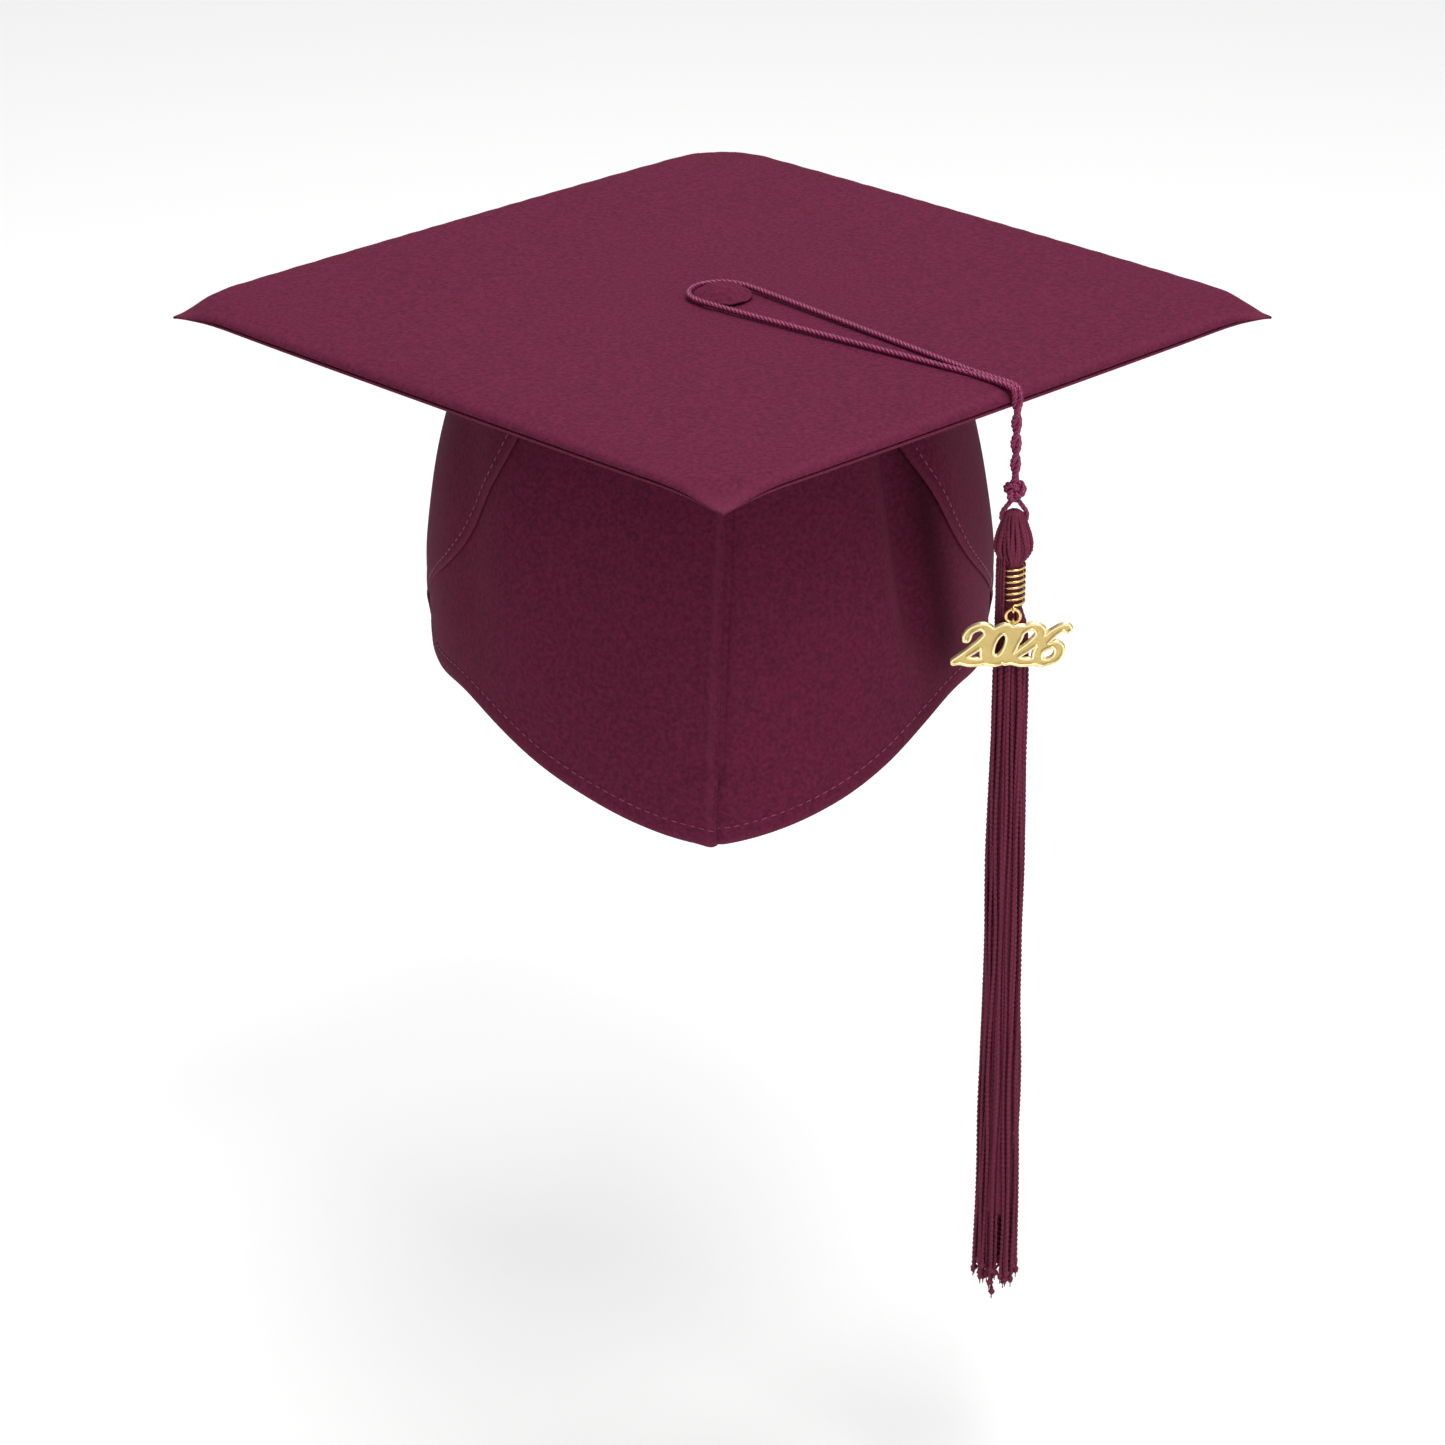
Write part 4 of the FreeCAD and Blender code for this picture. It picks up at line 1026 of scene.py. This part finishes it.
def build_board_cloths():
    """The top and underside cloths, which meet at a corded seam below the rolled edge."""
    rings = [(float(r), 0.0) for r in np.linspace(0.4, 100, 40)]
    rings += [(104, 0.0), (107, 0.04), (110, 0.11), (113, 0.26), (115.4, 0.50),
              (117.2, 0.82), (118.4, 1.16), (119.2, 1.54), (119.8, 1.98), (120.2, 2.44),
              (120.5, 2.92), (120.65, 3.36), (120.6, 3.74), (120.35, 4.02), (119.9, 4.22),
              (119.2, 4.38), (118.2, 4.45)]
    grid, uv = board_grid(rings, 76, top_ruffle)
    reach = np.array([r for r, _ in rings])[:, None]
    from_middle = np.hypot(grid[..., 0], grid[..., 1])
    # Painted highlight on the rolled edge and on the drooping corner tips.
    painted_light = 0.45 * hump(reach, 119.4, 1.6) + 0.5 * ease(from_middle, 158, 170)
    top = grid_sheet("board_top_cloth", grid, uv, finish("maroon_cloth"), (0, 0, TOP - 3),
                     0.0004, close_columns=True, painted_light=painted_light)
    close_middle(top)
    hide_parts("top_cover", "edge_seam_allowance")

    under = [(118.6, 4.52), (119.9, 4.40), (120.5, 4.52), (120.75, 4.80), (120.6, 5.08),
             (120.1, 5.30), (119.2, 5.40)]
    under += [(float(r), 5.4) for r in np.linspace(116.5, 1.6, 40)]
    grid, uv = board_grid(under, 76, lambda spots, p, q, reach: ripple(spots, 45.0, 8) * 0.2
                          * ease(120 - reach, 1, 12) * ease(reach, 84, 96))
    reach = np.array([r for r, _ in under])[:, None]
    # Painted highlight along the bead of the corded seam.
    painted_light = np.repeat(0.9 * hump(reach, 120.75, 0.5), grid.shape[1], axis=1)
    low = grid_sheet("board_underside_cloth", grid, uv, finish("maroon_cloth"),
                     (0, 0, TOP - 3), 0.0004, close_columns=True, painted_light=painted_light)
    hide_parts("underside_cover")
    for cloth in (top, low):
        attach(cloth, "cap")
    return top, low


def close_middle(sheet):
    """Closes the small hole at the middle of a cloth made of rings."""
    made = bmesh.new()
    made.from_mesh(sheet.data)
    near = [e for e in made.edges if e.is_boundary
            and all(math.hypot(v.co.x, v.co.y) < 1.2 * MM for v in e.verts)]
    bmesh.ops.holes_fill(made, edges=near, sides=0)
    made.to_mesh(sheet.data)
    made.free()
    sheet.data.polygons.foreach_set("use_smooth", [True] * len(sheet.data.polygons))


def build_wadding():
    """The thin wadding that pads the board's top."""
    rings = [(float(r), 1.35) for r in np.linspace(0.5, 112, 19)]
    rings += [(114, 1.5), (116, 1.7), (117.2, 1.85), (117.9, 1.98), (117.2, 2.12),
              (114, 2.19)] + [(float(r), 2.19) for r in np.linspace(100, 0.5, 10)]
    grid, uv = board_grid(rings, 40, lambda spots, p, q, reach: ripple(spots, 9.0, 6) * 0.05)
    bound = np.hypot(grid[..., 0], grid[..., 1])
    shrink = np.minimum(1.0, 151.0 / np.maximum(bound, 1e-6))
    grid[..., :2] *= shrink[..., None]
    falls = np.array([fall for _, fall in rings])[:, None]
    grid[..., 2] = np.where(bound > 149, TOP - falls, grid[..., 2])
    pad = grid_sheet("board_wadding", grid, uv, finish("white_wadding"), (0, 0, TOP - 1.4),
                     close_columns=True)
    close_middle(pad)
    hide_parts("board_padding")
    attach(pad, "cap")
    return pad


def build_button():
    """The cloth over the button, drawn in under its rim in small pleats."""
    rim, crown = 9.2, 4.2
    radius = (rim ** 2 + (crown - 0.95) ** 2) / (2 * (crown - 0.95))
    rings = []
    for r in np.concatenate([[0.15], np.linspace(0.8, 8.6, 20)]):
        rings.append((r, crown - radius + math.sqrt(radius ** 2 - r ** 2)))
    rings += [(8.95, 1.05), (9.2, 0.80), (9.28, 0.55), (9.1, 0.32), (8.7, 0.16), (8.0, 0.08),
              (7.0, 0.06)]
    turns = np.arange(96) * math.tau / 96
    grid = []
    for r, z in rings:
        pleat = 0.16 * ease(r, 5.5, 9.0) * np.cos(turns * 13 + 2.0 * np.sin(turns * 3))
        dent = -0.22 * hump(r, 5.0, 3.0) * np.cos(turns * 2 + 0.6)
        out = r + pleat * 0.4
        height = z + (pleat + dent) * (z > 0.3)
        grid.append(np.stack([out * np.cos(turns), out * np.sin(turns), TOP + height], axis=1))
    grid = np.array(grid)
    # The button cloth's rim is lightened as painted highlight.
    cap = grid_sheet("button_cloth", grid, grid[..., :2] * 1.05, finish("maroon_cloth"),
                     (0, 0, TOP - 4), 0.0003, close_columns=True,
                     painted_light=0.5 * ease(np.hypot(grid[..., 0], grid[..., 1]), 7.6, 9.2))
    close_middle(cap)
    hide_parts("button_cover")
    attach(cap, "cap")
    return cap


# ---------------------------------------------------------------- the cord

CORD_RADIUS = 0.00100
CORD_HEIGHT = 1.2
# (out, across) round the button and back to the edge
LOOP_POINTS = [
    (103.5, 1.0), (52, 6.1), (24, 8.7), (8, 10.05), (-2.6, 10.85), (-8.75, 6.9),
    (-11.1, 0.1), (-8.65, -6.8), (-2.5, -10.75), (9, -10.15), (26, -8.85), (55, -5.95),
    (103.5, -1.0)]
# (out, across, up) of the two legs, which wind round each other below the edge
FAR_LEG = [
    (103.8, 1.0, 1.2), (113.4, 0.96, 1.25), (122.3, 0.92, 1.3), (123.1, 0.80, -3.6),
    (123.15, -0.76, -6.8), (121.75, -0.78, -10.0), (121.65, 0.78, -13.2),
    (123.15, 0.78, -16.4), (123.15, -0.76, -19.6), (121.75, -0.78, -22.8),
    (121.7, 0.72, -26.0), (122.6, 0.6, -28.9)]
NEAR_LEG = [
    (103.8, -1.0, 1.2), (113.4, -0.96, 1.25), (122.5, -0.92, 1.2), (121.95, -0.80, -3.6),
    (121.75, 0.76, -6.8), (123.05, 0.78, -10.0), (123.15, -0.78, -13.2),
    (121.65, -0.78, -16.4), (121.65, 0.76, -19.6), (123.05, 0.78, -22.8),
    (123.1, -0.72, -26.0), (122.2, -0.6, -28.9)]
HANG_REACH = 122.4


def build_cords(sizes):
    """The loop round the button, and the two legs that hang over the edge to the knot."""
    rayon = finish("twisted_rayon")
    line = spline_line("loop", [on_route(a, b, CORD_HEIGHT) for a, b in LOOP_POINTS])
    loop = rope("board_cord", line, CORD_RADIUS, sizes.cord_lay, rayon)
    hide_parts("loop_cord")
    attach(loop, "cord_loop")

    knot = build_knot()
    ring = build_head_loop(sizes)
    for name, points, node_name, goes_with in (
            ("far_hanging_cord", FAR_LEG, "far_hanging_leg", [knot, ring]),
            ("near_hanging_cord", NEAR_LEG, "near_hanging_leg", [])):
        line = spline_line(name, [on_route(*p) for p in points])
        leg = rope(name, line, CORD_RADIUS, sizes.cord_lay, rayon)
        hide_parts(node_name)
        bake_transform(leg)


def build_knot():
    """The overhand knot: the doubled cord drawn tight round itself."""
    middle = np.array(on_route(HANG_REACH, 0.0, -31.3))
    t = np.linspace(0, math.tau, 121)
    swing = 0.98 + 0.62 * np.cos(3 * t)
    x = swing * np.cos(2 * t + 0.5) * 1.65
    z = swing * np.sin(2 * t + 0.5) * 1.75
    y = 1.15 * np.sin(3 * t)
    line = middle + np.stack([x, y, z], axis=1) * MM
    knot = rope("cord_knot_turns", line, 0.00112, 0.0048, finish("twisted_rayon"),
                strands=3, plump=0.56)
    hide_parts("cord_knot")
    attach(knot, "hanging_cord")
    return knot


def build_head_loop(sizes):
    """The small split loop below the knot, which the tassel's strands are folded over."""
    middle = np.array(on_route(HANG_REACH, 0.0, 0.0))
    route = [(-0.3, -33.4), (-1.9, -35.6), (-3.9, -38.2), (-3.6, -41.2), (0.0, -40.6),
             (3.6, -41.2), (3.9, -38.2), (1.9, -35.6), (0.3, -33.4)]
    points = [tuple(middle + np.array((x, 0.25 * (1 if x > 0 else -1), up)) * MM)
              for x, up in route]
    line = spline_line("head_loop", points)
    ring = rope("head_loop_cord", line, 0.0008, sizes.cord_lay * 0.85, finish("twisted_rayon"))
    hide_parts("head_loop")
    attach(ring, "hanging_cord")
    return ring


# ---------------------------------------------------------------- the tassel

# (height, radius) of the tassel's outline, from the folded top down to the ends
HEAD_LINE = [(72.6, 1.0), (72.2, 2.1), (71.4, 3.1), (70.0, 3.8), (67.6, 4.6), (65.0, 5.4),
             (62.4, 5.9), (60.2, 5.85), (58.4, 5.1), (57.0, 4.0), (55.8, 3.3), (54.6, 3.0)]
SKIRT_LINE = [(57.0, 3.2), (55.5, 2.95), (43.5, 2.95), (41.5, 3.5), (37.0, 4.8), (31.0, 5.6),
              (18.0, 5.8), (-30.0, 6.05), (-100.0, 6.35), (-160.0, 6.9), (-197.0, 7.4)]
SKIRT_END = -188.0


def outline_radius(table, heights):
    heights = np.asarray(heights, float)
    knots = np.array(table)[::-1]
    return np.interp(heights, knots[:, 0], knots[:, 1])


def thread_line(bearing, share, heights, table, strand, sway, seed, swirl=0.0):
    """One strand's points in metres: its bearing and share of the outline's radius, with a
    little sway of its own."""
    reach = np.maximum(outline_radius(table, heights) - strand, 0.2) * share
    drop = np.maximum(heights[0] - heights, 0)
    turn = bearing + swirl * drop
    free = ease(drop, 12, 60)
    drift = np.array([[noise.noise(Vector((seed * 3.1, h / 46.0, k * 9.7))) for k in (0, 1)]
                      for h in heights.tolist()])
    x = SPOT[0] + reach * np.cos(turn) + sway * free * drift[:, 0]
    y = SPOT[1] + reach * np.sin(turn) + sway * free * drift[:, 1]
    return np.stack([x, y, heights], axis=1) * MM


def grow_strands(name, lines, girths, tones, sizes, material, pitch=3.4, radius=None,
                 flatness=0.64, sides=6):
    """Many strands as one mesh."""
    twists = []
    for k, line in enumerate(lines):
        twists.append(arc_lengths(line) / (pitch * MM) * math.tau + k * 1.7)
    tone_and_shade = [np.full(len(line), t) for line, t in zip(lines, tones)]
    source = line_mesh(name + "_lines", lines,
                       {"girth": girths, "twist": twists, "tone_and_shade": tone_and_shade})
    return grown(name, source, "Twisted Strands", {
        "Radius": radius or sizes.strand_radius, "Sides": sides, "Flatness": flatness,
        "Material": finish(material)})


def build_tassel_head(sizes):
    """The folded head: shiny strands that pass over the cord loop and are gathered below."""
    lines, girths, tones = [], [], []
    rng = np.random.default_rng(11)
    for layer, count, share in ((0, 30, 1.0), (1, 22, 0.86)):
        for k in range(count):
            bearing = math.tau * (k + 0.5 * layer) / count + rng.normal(0, 0.05)
            heights = np.linspace(72.6 - 0.5 * layer, 55.0, 66)
            line = thread_line(bearing, share, heights, HEAD_LINE, 0.5, 0.0, k,
                               swirl=0.018 * rng.uniform(-1, 1.6))
            squeeze = 0.62 + 0.38 * hump(heights, 62, 7)
            lines.append(line)
            girths.append(squeeze * rng.uniform(0.9, 1.12))
            tones.append(float(rng.uniform(0, 1.0)) ** 1.5 * 0.9)
    head = grow_strands("tassel_head_strands", lines, girths, tones, sizes, "tassel_rayon",
                        pitch=2.3)
    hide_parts("tassel_head")
    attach(head, "tassel")

    lines, girths, tones = [], [], []
    for k in range(9):
        bearing = math.radians(138 + 95 * k / 8)
        heights = np.concatenate([np.linspace(59.5, 55.5, 8), np.linspace(54.8, 44.5, 10),
                                  np.linspace(43.5, 33.0, 10)])
        reach = np.interp(heights[::-1], [33, 38, 43.5, 46, 52, 56, 59.5],
                          [4.7, 4.75, 4.7, 4.7, 4.75, 4.7, 4.5])[::-1]
        line = np.stack([SPOT[0] + reach * math.cos(bearing), SPOT[1] + reach
                         * math.sin(bearing), heights], axis=1) * MM
        lines.append(line)
        girths.append(np.full(len(line), 0.72))
        tones.append(0.15 + 0.5 * (k % 3) / 2)
    stray = grow_strands("neck_outer_strands", lines, girths, tones, sizes, "tassel_rayon")
    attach(stray, "tassel")

    low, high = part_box("neck_binding")
    turns = 34
    t = np.linspace(0, 1, turns * 20 + 1)
    reach = 0.00302
    wound = np.stack([SPOT[0] * MM + reach * np.cos(t * turns * math.tau),
                      SPOT[1] * MM + reach * np.sin(t * turns * math.tau),
                      high[2] - (high[2] - low[2]) * t], axis=1)
    neck = grow_strands("neck_thread_winding", [wound], [np.full(len(wound), 1.0)], [0.35],
                        sizes, "tassel_rayon", radius=0.00024, flatness=0.9)
    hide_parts("neck_binding")
    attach(neck, "tassel")
    return head


def strand_ends(heights, end):
    """Girth along a strand: slimmer in the neck, a small knot near its end, then a wisp."""
    girth = 0.52 + 0.48 * ease(-heights, -43, -33)
    girth = girth + 0.75 * hump(heights, end + 2.6, 0.8)
    return girth * np.where(heights < end + 1.7, 0.34, 1.0)


def build_skirt(sizes):
    """The skirt: fifty-six twisted strands with uneven, knotted ends."""
    rng = np.random.default_rng(2026)
    outer, inner = ([], [], []), ([], [], [])
    layers = ((26, 1.0, 0.46, outer), (17, 0.73, 1.2, inner), (10, 0.44, 1.8, inner),
              (3, 0.14, 1.8, inner))
    for count, share, step, (lines, girths, tones) in layers:
        for k in range(count):
            bearing = math.tau * k / count + rng.normal(0, 0.07)
            end = SKIRT_END + rng.uniform(-2.5, 5.5)
            if count == 10 and k == 7:
                end = -195.0
            steps = int((57.0 - end) / step)
            body = np.linspace(57.0, end + 4.0, steps)
            tip = np.linspace(end + 3.7, end, 14)
            heights = np.concatenate([body, tip])
            lines.append(thread_line(bearing, share * rng.uniform(0.95, 1.0), heights,
                                     SKIRT_LINE, sizes.strand_radius / MM, 1.0,
                                     k + 31 * share, swirl=rng.normal(0, 0.0004)))
            girths.append(strand_ends(heights, end) * rng.uniform(0.92, 1.1))
            tones.append(float(rng.uniform(0.1, 0.85)))
    made = []
    for name, (lines, girths, tones) in (("skirt_outer_strands", outer),
                                         ("skirt_inner_strands", inner)):
        skirt = grow_strands(name, lines, girths, tones, sizes, "tassel_rayon")
        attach(skirt, "tassel")
        made.append(skirt)
    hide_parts("tassel_skirt")
    return made


def build_shaded_core():
    """A core that stops light between the strands of head and skirt, dark as painted shade."""
    heights = np.concatenate([np.linspace(71.2, 56.5, 16), np.linspace(55, 43, 6),
                              np.linspace(40, -168, 40)])
    reach = np.where(heights > 56.5, outline_radius(HEAD_LINE, heights) - 1.5,
                     outline_radius(SKIRT_LINE, heights) - 1.9)
    reach = np.maximum(reach, 0.5)
    reach[0] = reach[-1] = 0.05
    turns = np.arange(20) * math.tau / 20
    grid = np.stack([SPOT[0] + reach[:, None] * np.cos(turns),
                     SPOT[1] + reach[:, None] * np.sin(turns),
                     np.repeat(heights[:, None], 20, axis=1)], axis=-1)
    uv = np.stack([np.repeat(turns[None] * 3, len(heights), axis=0),
                   np.repeat(heights[:, None], 20, axis=1)], axis=-1)
    core = grid_sheet("tassel_shade_core", grid, uv, finish("tassel_rayon"), (*SPOT, 20.0),
                      close_columns=True)
    made = bmesh.new()
    made.from_mesh(core.data)
    bmesh.ops.holes_fill(made, edges=[e for e in made.edges if e.is_boundary], sides=0)
    # Full tone_and_shade darkens the whole core: painted shade behind the strands.
    tone_and_shade = made.verts.layers.float.new("tone_and_shade")
    for v in made.verts:
        v[tone_and_shade] = 1.0
    made.to_mesh(core.data)
    made.free()
    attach(core, "tassel")
    return core


# ---------------------------------------------------------------- stitching

def build_stitching(sizes):
    """Topstitching along the front hem, the seam welts and the hem casing."""
    thread = finish("topstitch_thread")
    settings = {"Pitch": sizes.stitch_pitch, "Length": sizes.stitch_length,
                "Thickness": 0.00045, "Material": thread}
    lines = []
    for side in (-1, 1):
        turn, _, hem = front_layout(0.0, 76, 84)
        slope = hem_slope(turn[-1], hem)
        at = hem - 5.0 / slope
        inset = front_inset(side, turn[-1], at, np.full(len(hem), 5.0)) - 0.12
        base = skull_points(turn[-1], at, inset, side)
        inset = inset + front_drift(base, side)
        lines.append(skull_points(turn[-1], at, inset, side)[2:-2] * MM)
    hem = grown("front_hem_stitches", line_mesh("hem_lines", lines), "Stitches", settings)

    lines = []
    for side in (-1, 1):
        depths = np.linspace(ROOF + 1.0, BACK_HEM - 1.0, 50)
        first = turn_at(smooth_table(depths, SEAM_DEPTHS, SEAM_YS), depths)
        sunk = hem_tuck(4.2, depths)
        lines.append(skull_points(first + 4.2 / BACK_ARC, depths, 0.42 * BACK_PROUD - 0.02 + sunk,
                                  side) * MM)
    welt = grown("side_seam_stitches", line_mesh("welt_lines", lines), "Stitches", settings)

    spots = back_columns(BACK_COLUMNS)
    side = np.where(spots < 0, -1.0, 1.0)
    lines = []
    for at, sunk in ((CASING_TOP - 0.4, 0.42), (BACK_HEM - 1.6, -0.30)):
        depth = np.full(BACK_COLUMNS, at)
        first, turn = back_turns(spots, depth)
        from_edge = (turn - first) * BACK_ARC
        dipped = at + hem_dip(from_edge, at)
        first, turn = back_turns(spots, dipped)
        folds = gathers(turn, side, depth, sizes.gathers, GATHER_STRENGTH)
        inset = back_proud(from_edge, at) + sunk - folds - 0.12 + hem_tuck(from_edge, at)
        line = skull_points(turn, dipped, inset, side)
        lines.append(line[5:-5] * MM)
    casing = grown("casing_stitches", line_mesh("casing_lines", lines), "Stitches", settings)
    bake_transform(casing)
    for seam in (hem, welt):
        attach(seam, "cap")
    return hem, welt, casing


# ---------------------------------------------------------------- metal and hidden parts

def boundary_loops(source, normal_y):
    """The outlines of a flat face of a CAD part, front or back, as closed lines."""
    made = bmesh.new()
    made.from_mesh(source.data)
    bmesh.ops.remove_doubles(made, verts=made.verts, dist=1e-6)
    made.normal_update()
    flat = [f for f in made.faces if f.normal.y * normal_y > 0.98]
    areas = {}
    for f in flat:
        level = round(f.calc_center_median().y, 5)
        areas[level] = areas.get(level, 0.0) + f.calc_area()
    widest = max(sorted(areas), key=areas.get)
    face = {f for f in flat if abs(f.calc_center_median().y - widest) < 3e-5}
    links = {}
    for edge in made.edges:
        if sum(f in face for f in edge.link_faces) == 1:
            a, b = edge.verts
            links.setdefault(a.index, []).append(b.index)
            links.setdefault(b.index, []).append(a.index)
    made.verts.ensure_lookup_table()
    loops, left = [], set(links)
    while left:
        start = min(left)
        loop, here, before = [start], start, None
        left.discard(start)
        while True:
            onward = [n for n in links[here] if n != before and n in left]
            if not onward:
                break
            before, here = here, onward[0]
            loop.append(here)
            left.discard(here)
        if len(loop) > 5:
            loops.append(np.array([made.verts[k].co[:] for k in loop]))
    made.free()
    return loops


def build_charm_rims():
    """Raised polished rims round the charm's numerals, on both faces."""
    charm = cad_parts["year_charm"]
    made = []
    for way in (-1, 1):
        for loop in boundary_loops(charm, way):
            line = np.vstack([loop, loop[:1]])
            line = resampled(line, 0.00035)[:-1]
            for _ in range(3):
                line = 0.5 * line + 0.25 * (np.roll(line, 1, axis=0) + np.roll(line, -1, axis=0))
            line[:, 1] += -0.00016 if way < 0 else -0.00034
            made.append(line)
    girths = [np.ones(len(line)) for line in made]
    source = line_mesh("rim_lines", made, {
        "girth": girths, "twist": [np.zeros(len(line)) for line in made]}, closed=True)
    rims = grown("charm_rims", source, "Twisted Strands", {
        "Radius": 0.0005, "Sides": 8, "Flatness": 1.0, "Material": finish("bright_gold")})
    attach(rims, "charm")
    return rims


CAD_FINISHES = {
    "insert_board": "grey_card", "button_shell": "tinned_steel",
    "button_back_plate": "tinned_steel", "button_shank": "tinned_steel",
    "retaining_washer": "tinned_steel", "gold_coil": "polished_gold",
    "jump_ring": "polished_gold", "year_charm": "satin_gold",
}


def dress_cad_parts():
    """A finish for each CAD part that stays as it is."""
    for name, look in CAD_FINISHES.items():
        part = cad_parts[name]
        if not part.material_slots:
            part.data.materials.append(finish(look))
        for place in part.material_slots:
            place.material = finish(look)


# ---------------------------------------------------------------- the stage

def area_light(name, place, aim, size, power, colour=(1.0, 1.0, 1.0)):
    data = bpy.data.lights.new(name, "AREA")
    data.shape = "DISK"
    data.size = size
    data.energy = power
    data.color = colour
    light = bpy.data.objects.new(name, data)
    light.location = place
    light.rotation_euler = (Vector(aim) - Vector(place)).to_track_quat("-Z", "Y").to_euler()
    bpy.context.scene.collection.objects.link(light)
    return light


def build_stage():
    """A pale floor, a white room, soft lamps, and the camera above and in front."""
    mesh = bpy.data.meshes.new("floor")
    low, half = -0.275, 6.0
    mesh.from_pydata([(-half, -half, low), (half, -half, low), (half, half, low),
                      (-half, half, low)], [], [(0, 1, 2, 3)])
    floor = bpy.data.objects.new("floor", mesh)
    bpy.context.scene.collection.objects.link(floor)
    material, _, shader = new_material("pale_floor", Roughness=0.9, Specular_IOR_Level=0.1)
    shader.inputs["Base Color"].default_value = (0.93, 0.93, 0.93, 1.0)
    mesh.materials.append(material)

    world = bpy.data.worlds.new("white_room")
    world.use_nodes = True
    back = next(n for n in world.node_tree.nodes if n.type == "BACKGROUND")
    tree = world.node_tree
    place = node(tree, "ShaderNodeTexCoord")
    split = node(tree, "ShaderNodeSeparateXYZ", {0: place.outputs["Generated"]})
    rise = node(tree, "ShaderNodeMapRange", {
        "Value": split.outputs[2], "From Min": -0.1, "From Max": 0.75, "To Min": 0.16,
        "To Max": 0.80})
    tree.links.new(rise.outputs["Result"], back.inputs["Strength"])
    back.inputs["Color"].default_value = (1.0, 1.0, 1.0, 1.0)
    bpy.context.scene.world = world
    bpy.context.scene.view_settings.view_transform = "Standard"

    middle = (0.0, 0.0, 0.05)
    area_light("key", (0.45, -0.95, 1.75), middle, 0.8, 16.0, (1.0, 0.985, 0.97))
    area_light("fill", (0.9, -1.2, 0.3), middle, 0.5, 3.0)
    area_light("top", (0.1, 0.45, 2.0), middle, 1.6, 22.0)

    data = bpy.data.cameras.new("camera")
    data.sensor_width = 36.0
    data.lens = 120.1
    camera = bpy.data.objects.new("camera", data)
    camera.location = (0.0, -1.4224, 0.586)
    camera.rotation_euler = (math.radians(66.45), 0.0, 0.0)
    bpy.context.scene.collection.objects.link(camera)
    bpy.context.scene.camera = camera


# ---------------------------------------------------------------- operators

class CAP_OT_stage(bpy.types.Operator):
    """Build the finishes, the pale floor, the lamps and the camera"""
    bl_idname = "cap.stage"
    bl_label = "Stage and Finishes"

    def execute(self, context):
        build_finishes(context.scene.cap_colours)
        strands_tree()
        stitches_tree()
        build_stage()
        return {"FINISHED"}


class CAP_OT_cords(bpy.types.Operator):
    """Build the twisted cord, its knot and the small loop above the tassel"""
    bl_idname = "cap.cords"
    bl_label = "Cord and Knot"

    def execute(self, context):
        build_cords(context.scene.cap_sizes)
        return {"FINISHED"}


class CAP_OT_board(bpy.types.Operator):
    """Build the board's cloths and its wadding"""
    bl_idname = "cap.board"
    bl_label = "Board"

    def execute(self, context):
        top, low = build_board_cloths()
        build_wadding()
        return {"FINISHED"}


class CAP_OT_button(bpy.types.Operator):
    """Build the cloth over the button"""
    bl_idname = "cap.button"
    bl_label = "Button"

    def execute(self, context):
        cloth = build_button()
        return {"FINISHED"}


class CAP_OT_skullcap(bpy.types.Operator):
    """Build the front panels, their lining, the seam tape, the back panel and its elastic"""
    bl_idname = "cap.skullcap"
    bl_label = "Skullcap"

    def execute(self, context):
        sizes = context.scene.cap_sizes
        for side, half in ((-1, "left"), (1, "right")):
            panel = build_front_cloth(sizes, side, f"{half}_front_cloth")
            lining = build_front_lining(side, f"{half}_front_lining")
        tape = build_ridge_tape()
        back = build_back_cloth(sizes)
        band = build_elastic(sizes)
        return {"FINISHED"}


class CAP_OT_stitching(bpy.types.Operator):
    """Sew the topstitching along the hems and the side seams"""
    bl_idname = "cap.stitching"
    bl_label = "Stitching"

    def execute(self, context):
        build_stitching(context.scene.cap_sizes)
        return {"FINISHED"}


class CAP_OT_tassel(bpy.types.Operator):
    """Build the tassel's head, neck, core and skirt"""
    bl_idname = "cap.tassel"
    bl_label = "Tassel"

    def execute(self, context):
        sizes = context.scene.cap_sizes
        build_shaded_core()
        build_tassel_head(sizes)
        build_skirt(sizes)
        return {"FINISHED"}


class CAP_OT_metal(bpy.types.Operator):
    """Finish the coil, the ring, the charm and the parts inside the board and button"""
    bl_idname = "cap.metal"
    bl_label = "Metal and Inner Parts"

    def execute(self, context):
        dress_cad_parts()
        build_charm_rims()
        return {"FINISHED"}


class CAP_PT_panel(bpy.types.Panel):
    """The cap's sizes, colours and building steps"""
    bl_idname = "CAP_PT_panel"
    bl_label = "Graduation Cap"
    bl_space_type = "VIEW_3D"
    bl_region_type = "UI"
    bl_category = "Cap"

    def draw(self, context):
        column = self.layout.column()
        for group in (context.scene.cap_sizes, context.scene.cap_colours):
            for key in type(group).__annotations__:
                column.prop(group, key)
        for step in STEPS:
            column.operator(step.bl_idname)


STEPS = (CAP_OT_stage, CAP_OT_cords, CAP_OT_board, CAP_OT_button, CAP_OT_skullcap,
         CAP_OT_stitching, CAP_OT_tassel, CAP_OT_metal)
CLASSES = (CapSizes, CapColours, *STEPS, CAP_PT_panel)


def register():
    for each in CLASSES:
        bpy.utils.register_class(each)
    bpy.types.Scene.cap_sizes = bpy.props.PointerProperty(type=CapSizes)
    bpy.types.Scene.cap_colours = bpy.props.PointerProperty(type=CapColours)


def unregister():
    del bpy.types.Scene.cap_colours
    del bpy.types.Scene.cap_sizes
    for each in reversed(CLASSES):
        bpy.utils.unregister_class(each)


def main():
    register()
    for step in STEPS:
        group, name = step.bl_idname.split(".")
        getattr(getattr(bpy.ops, group), name)()


if __name__ == "__main__":
    main()
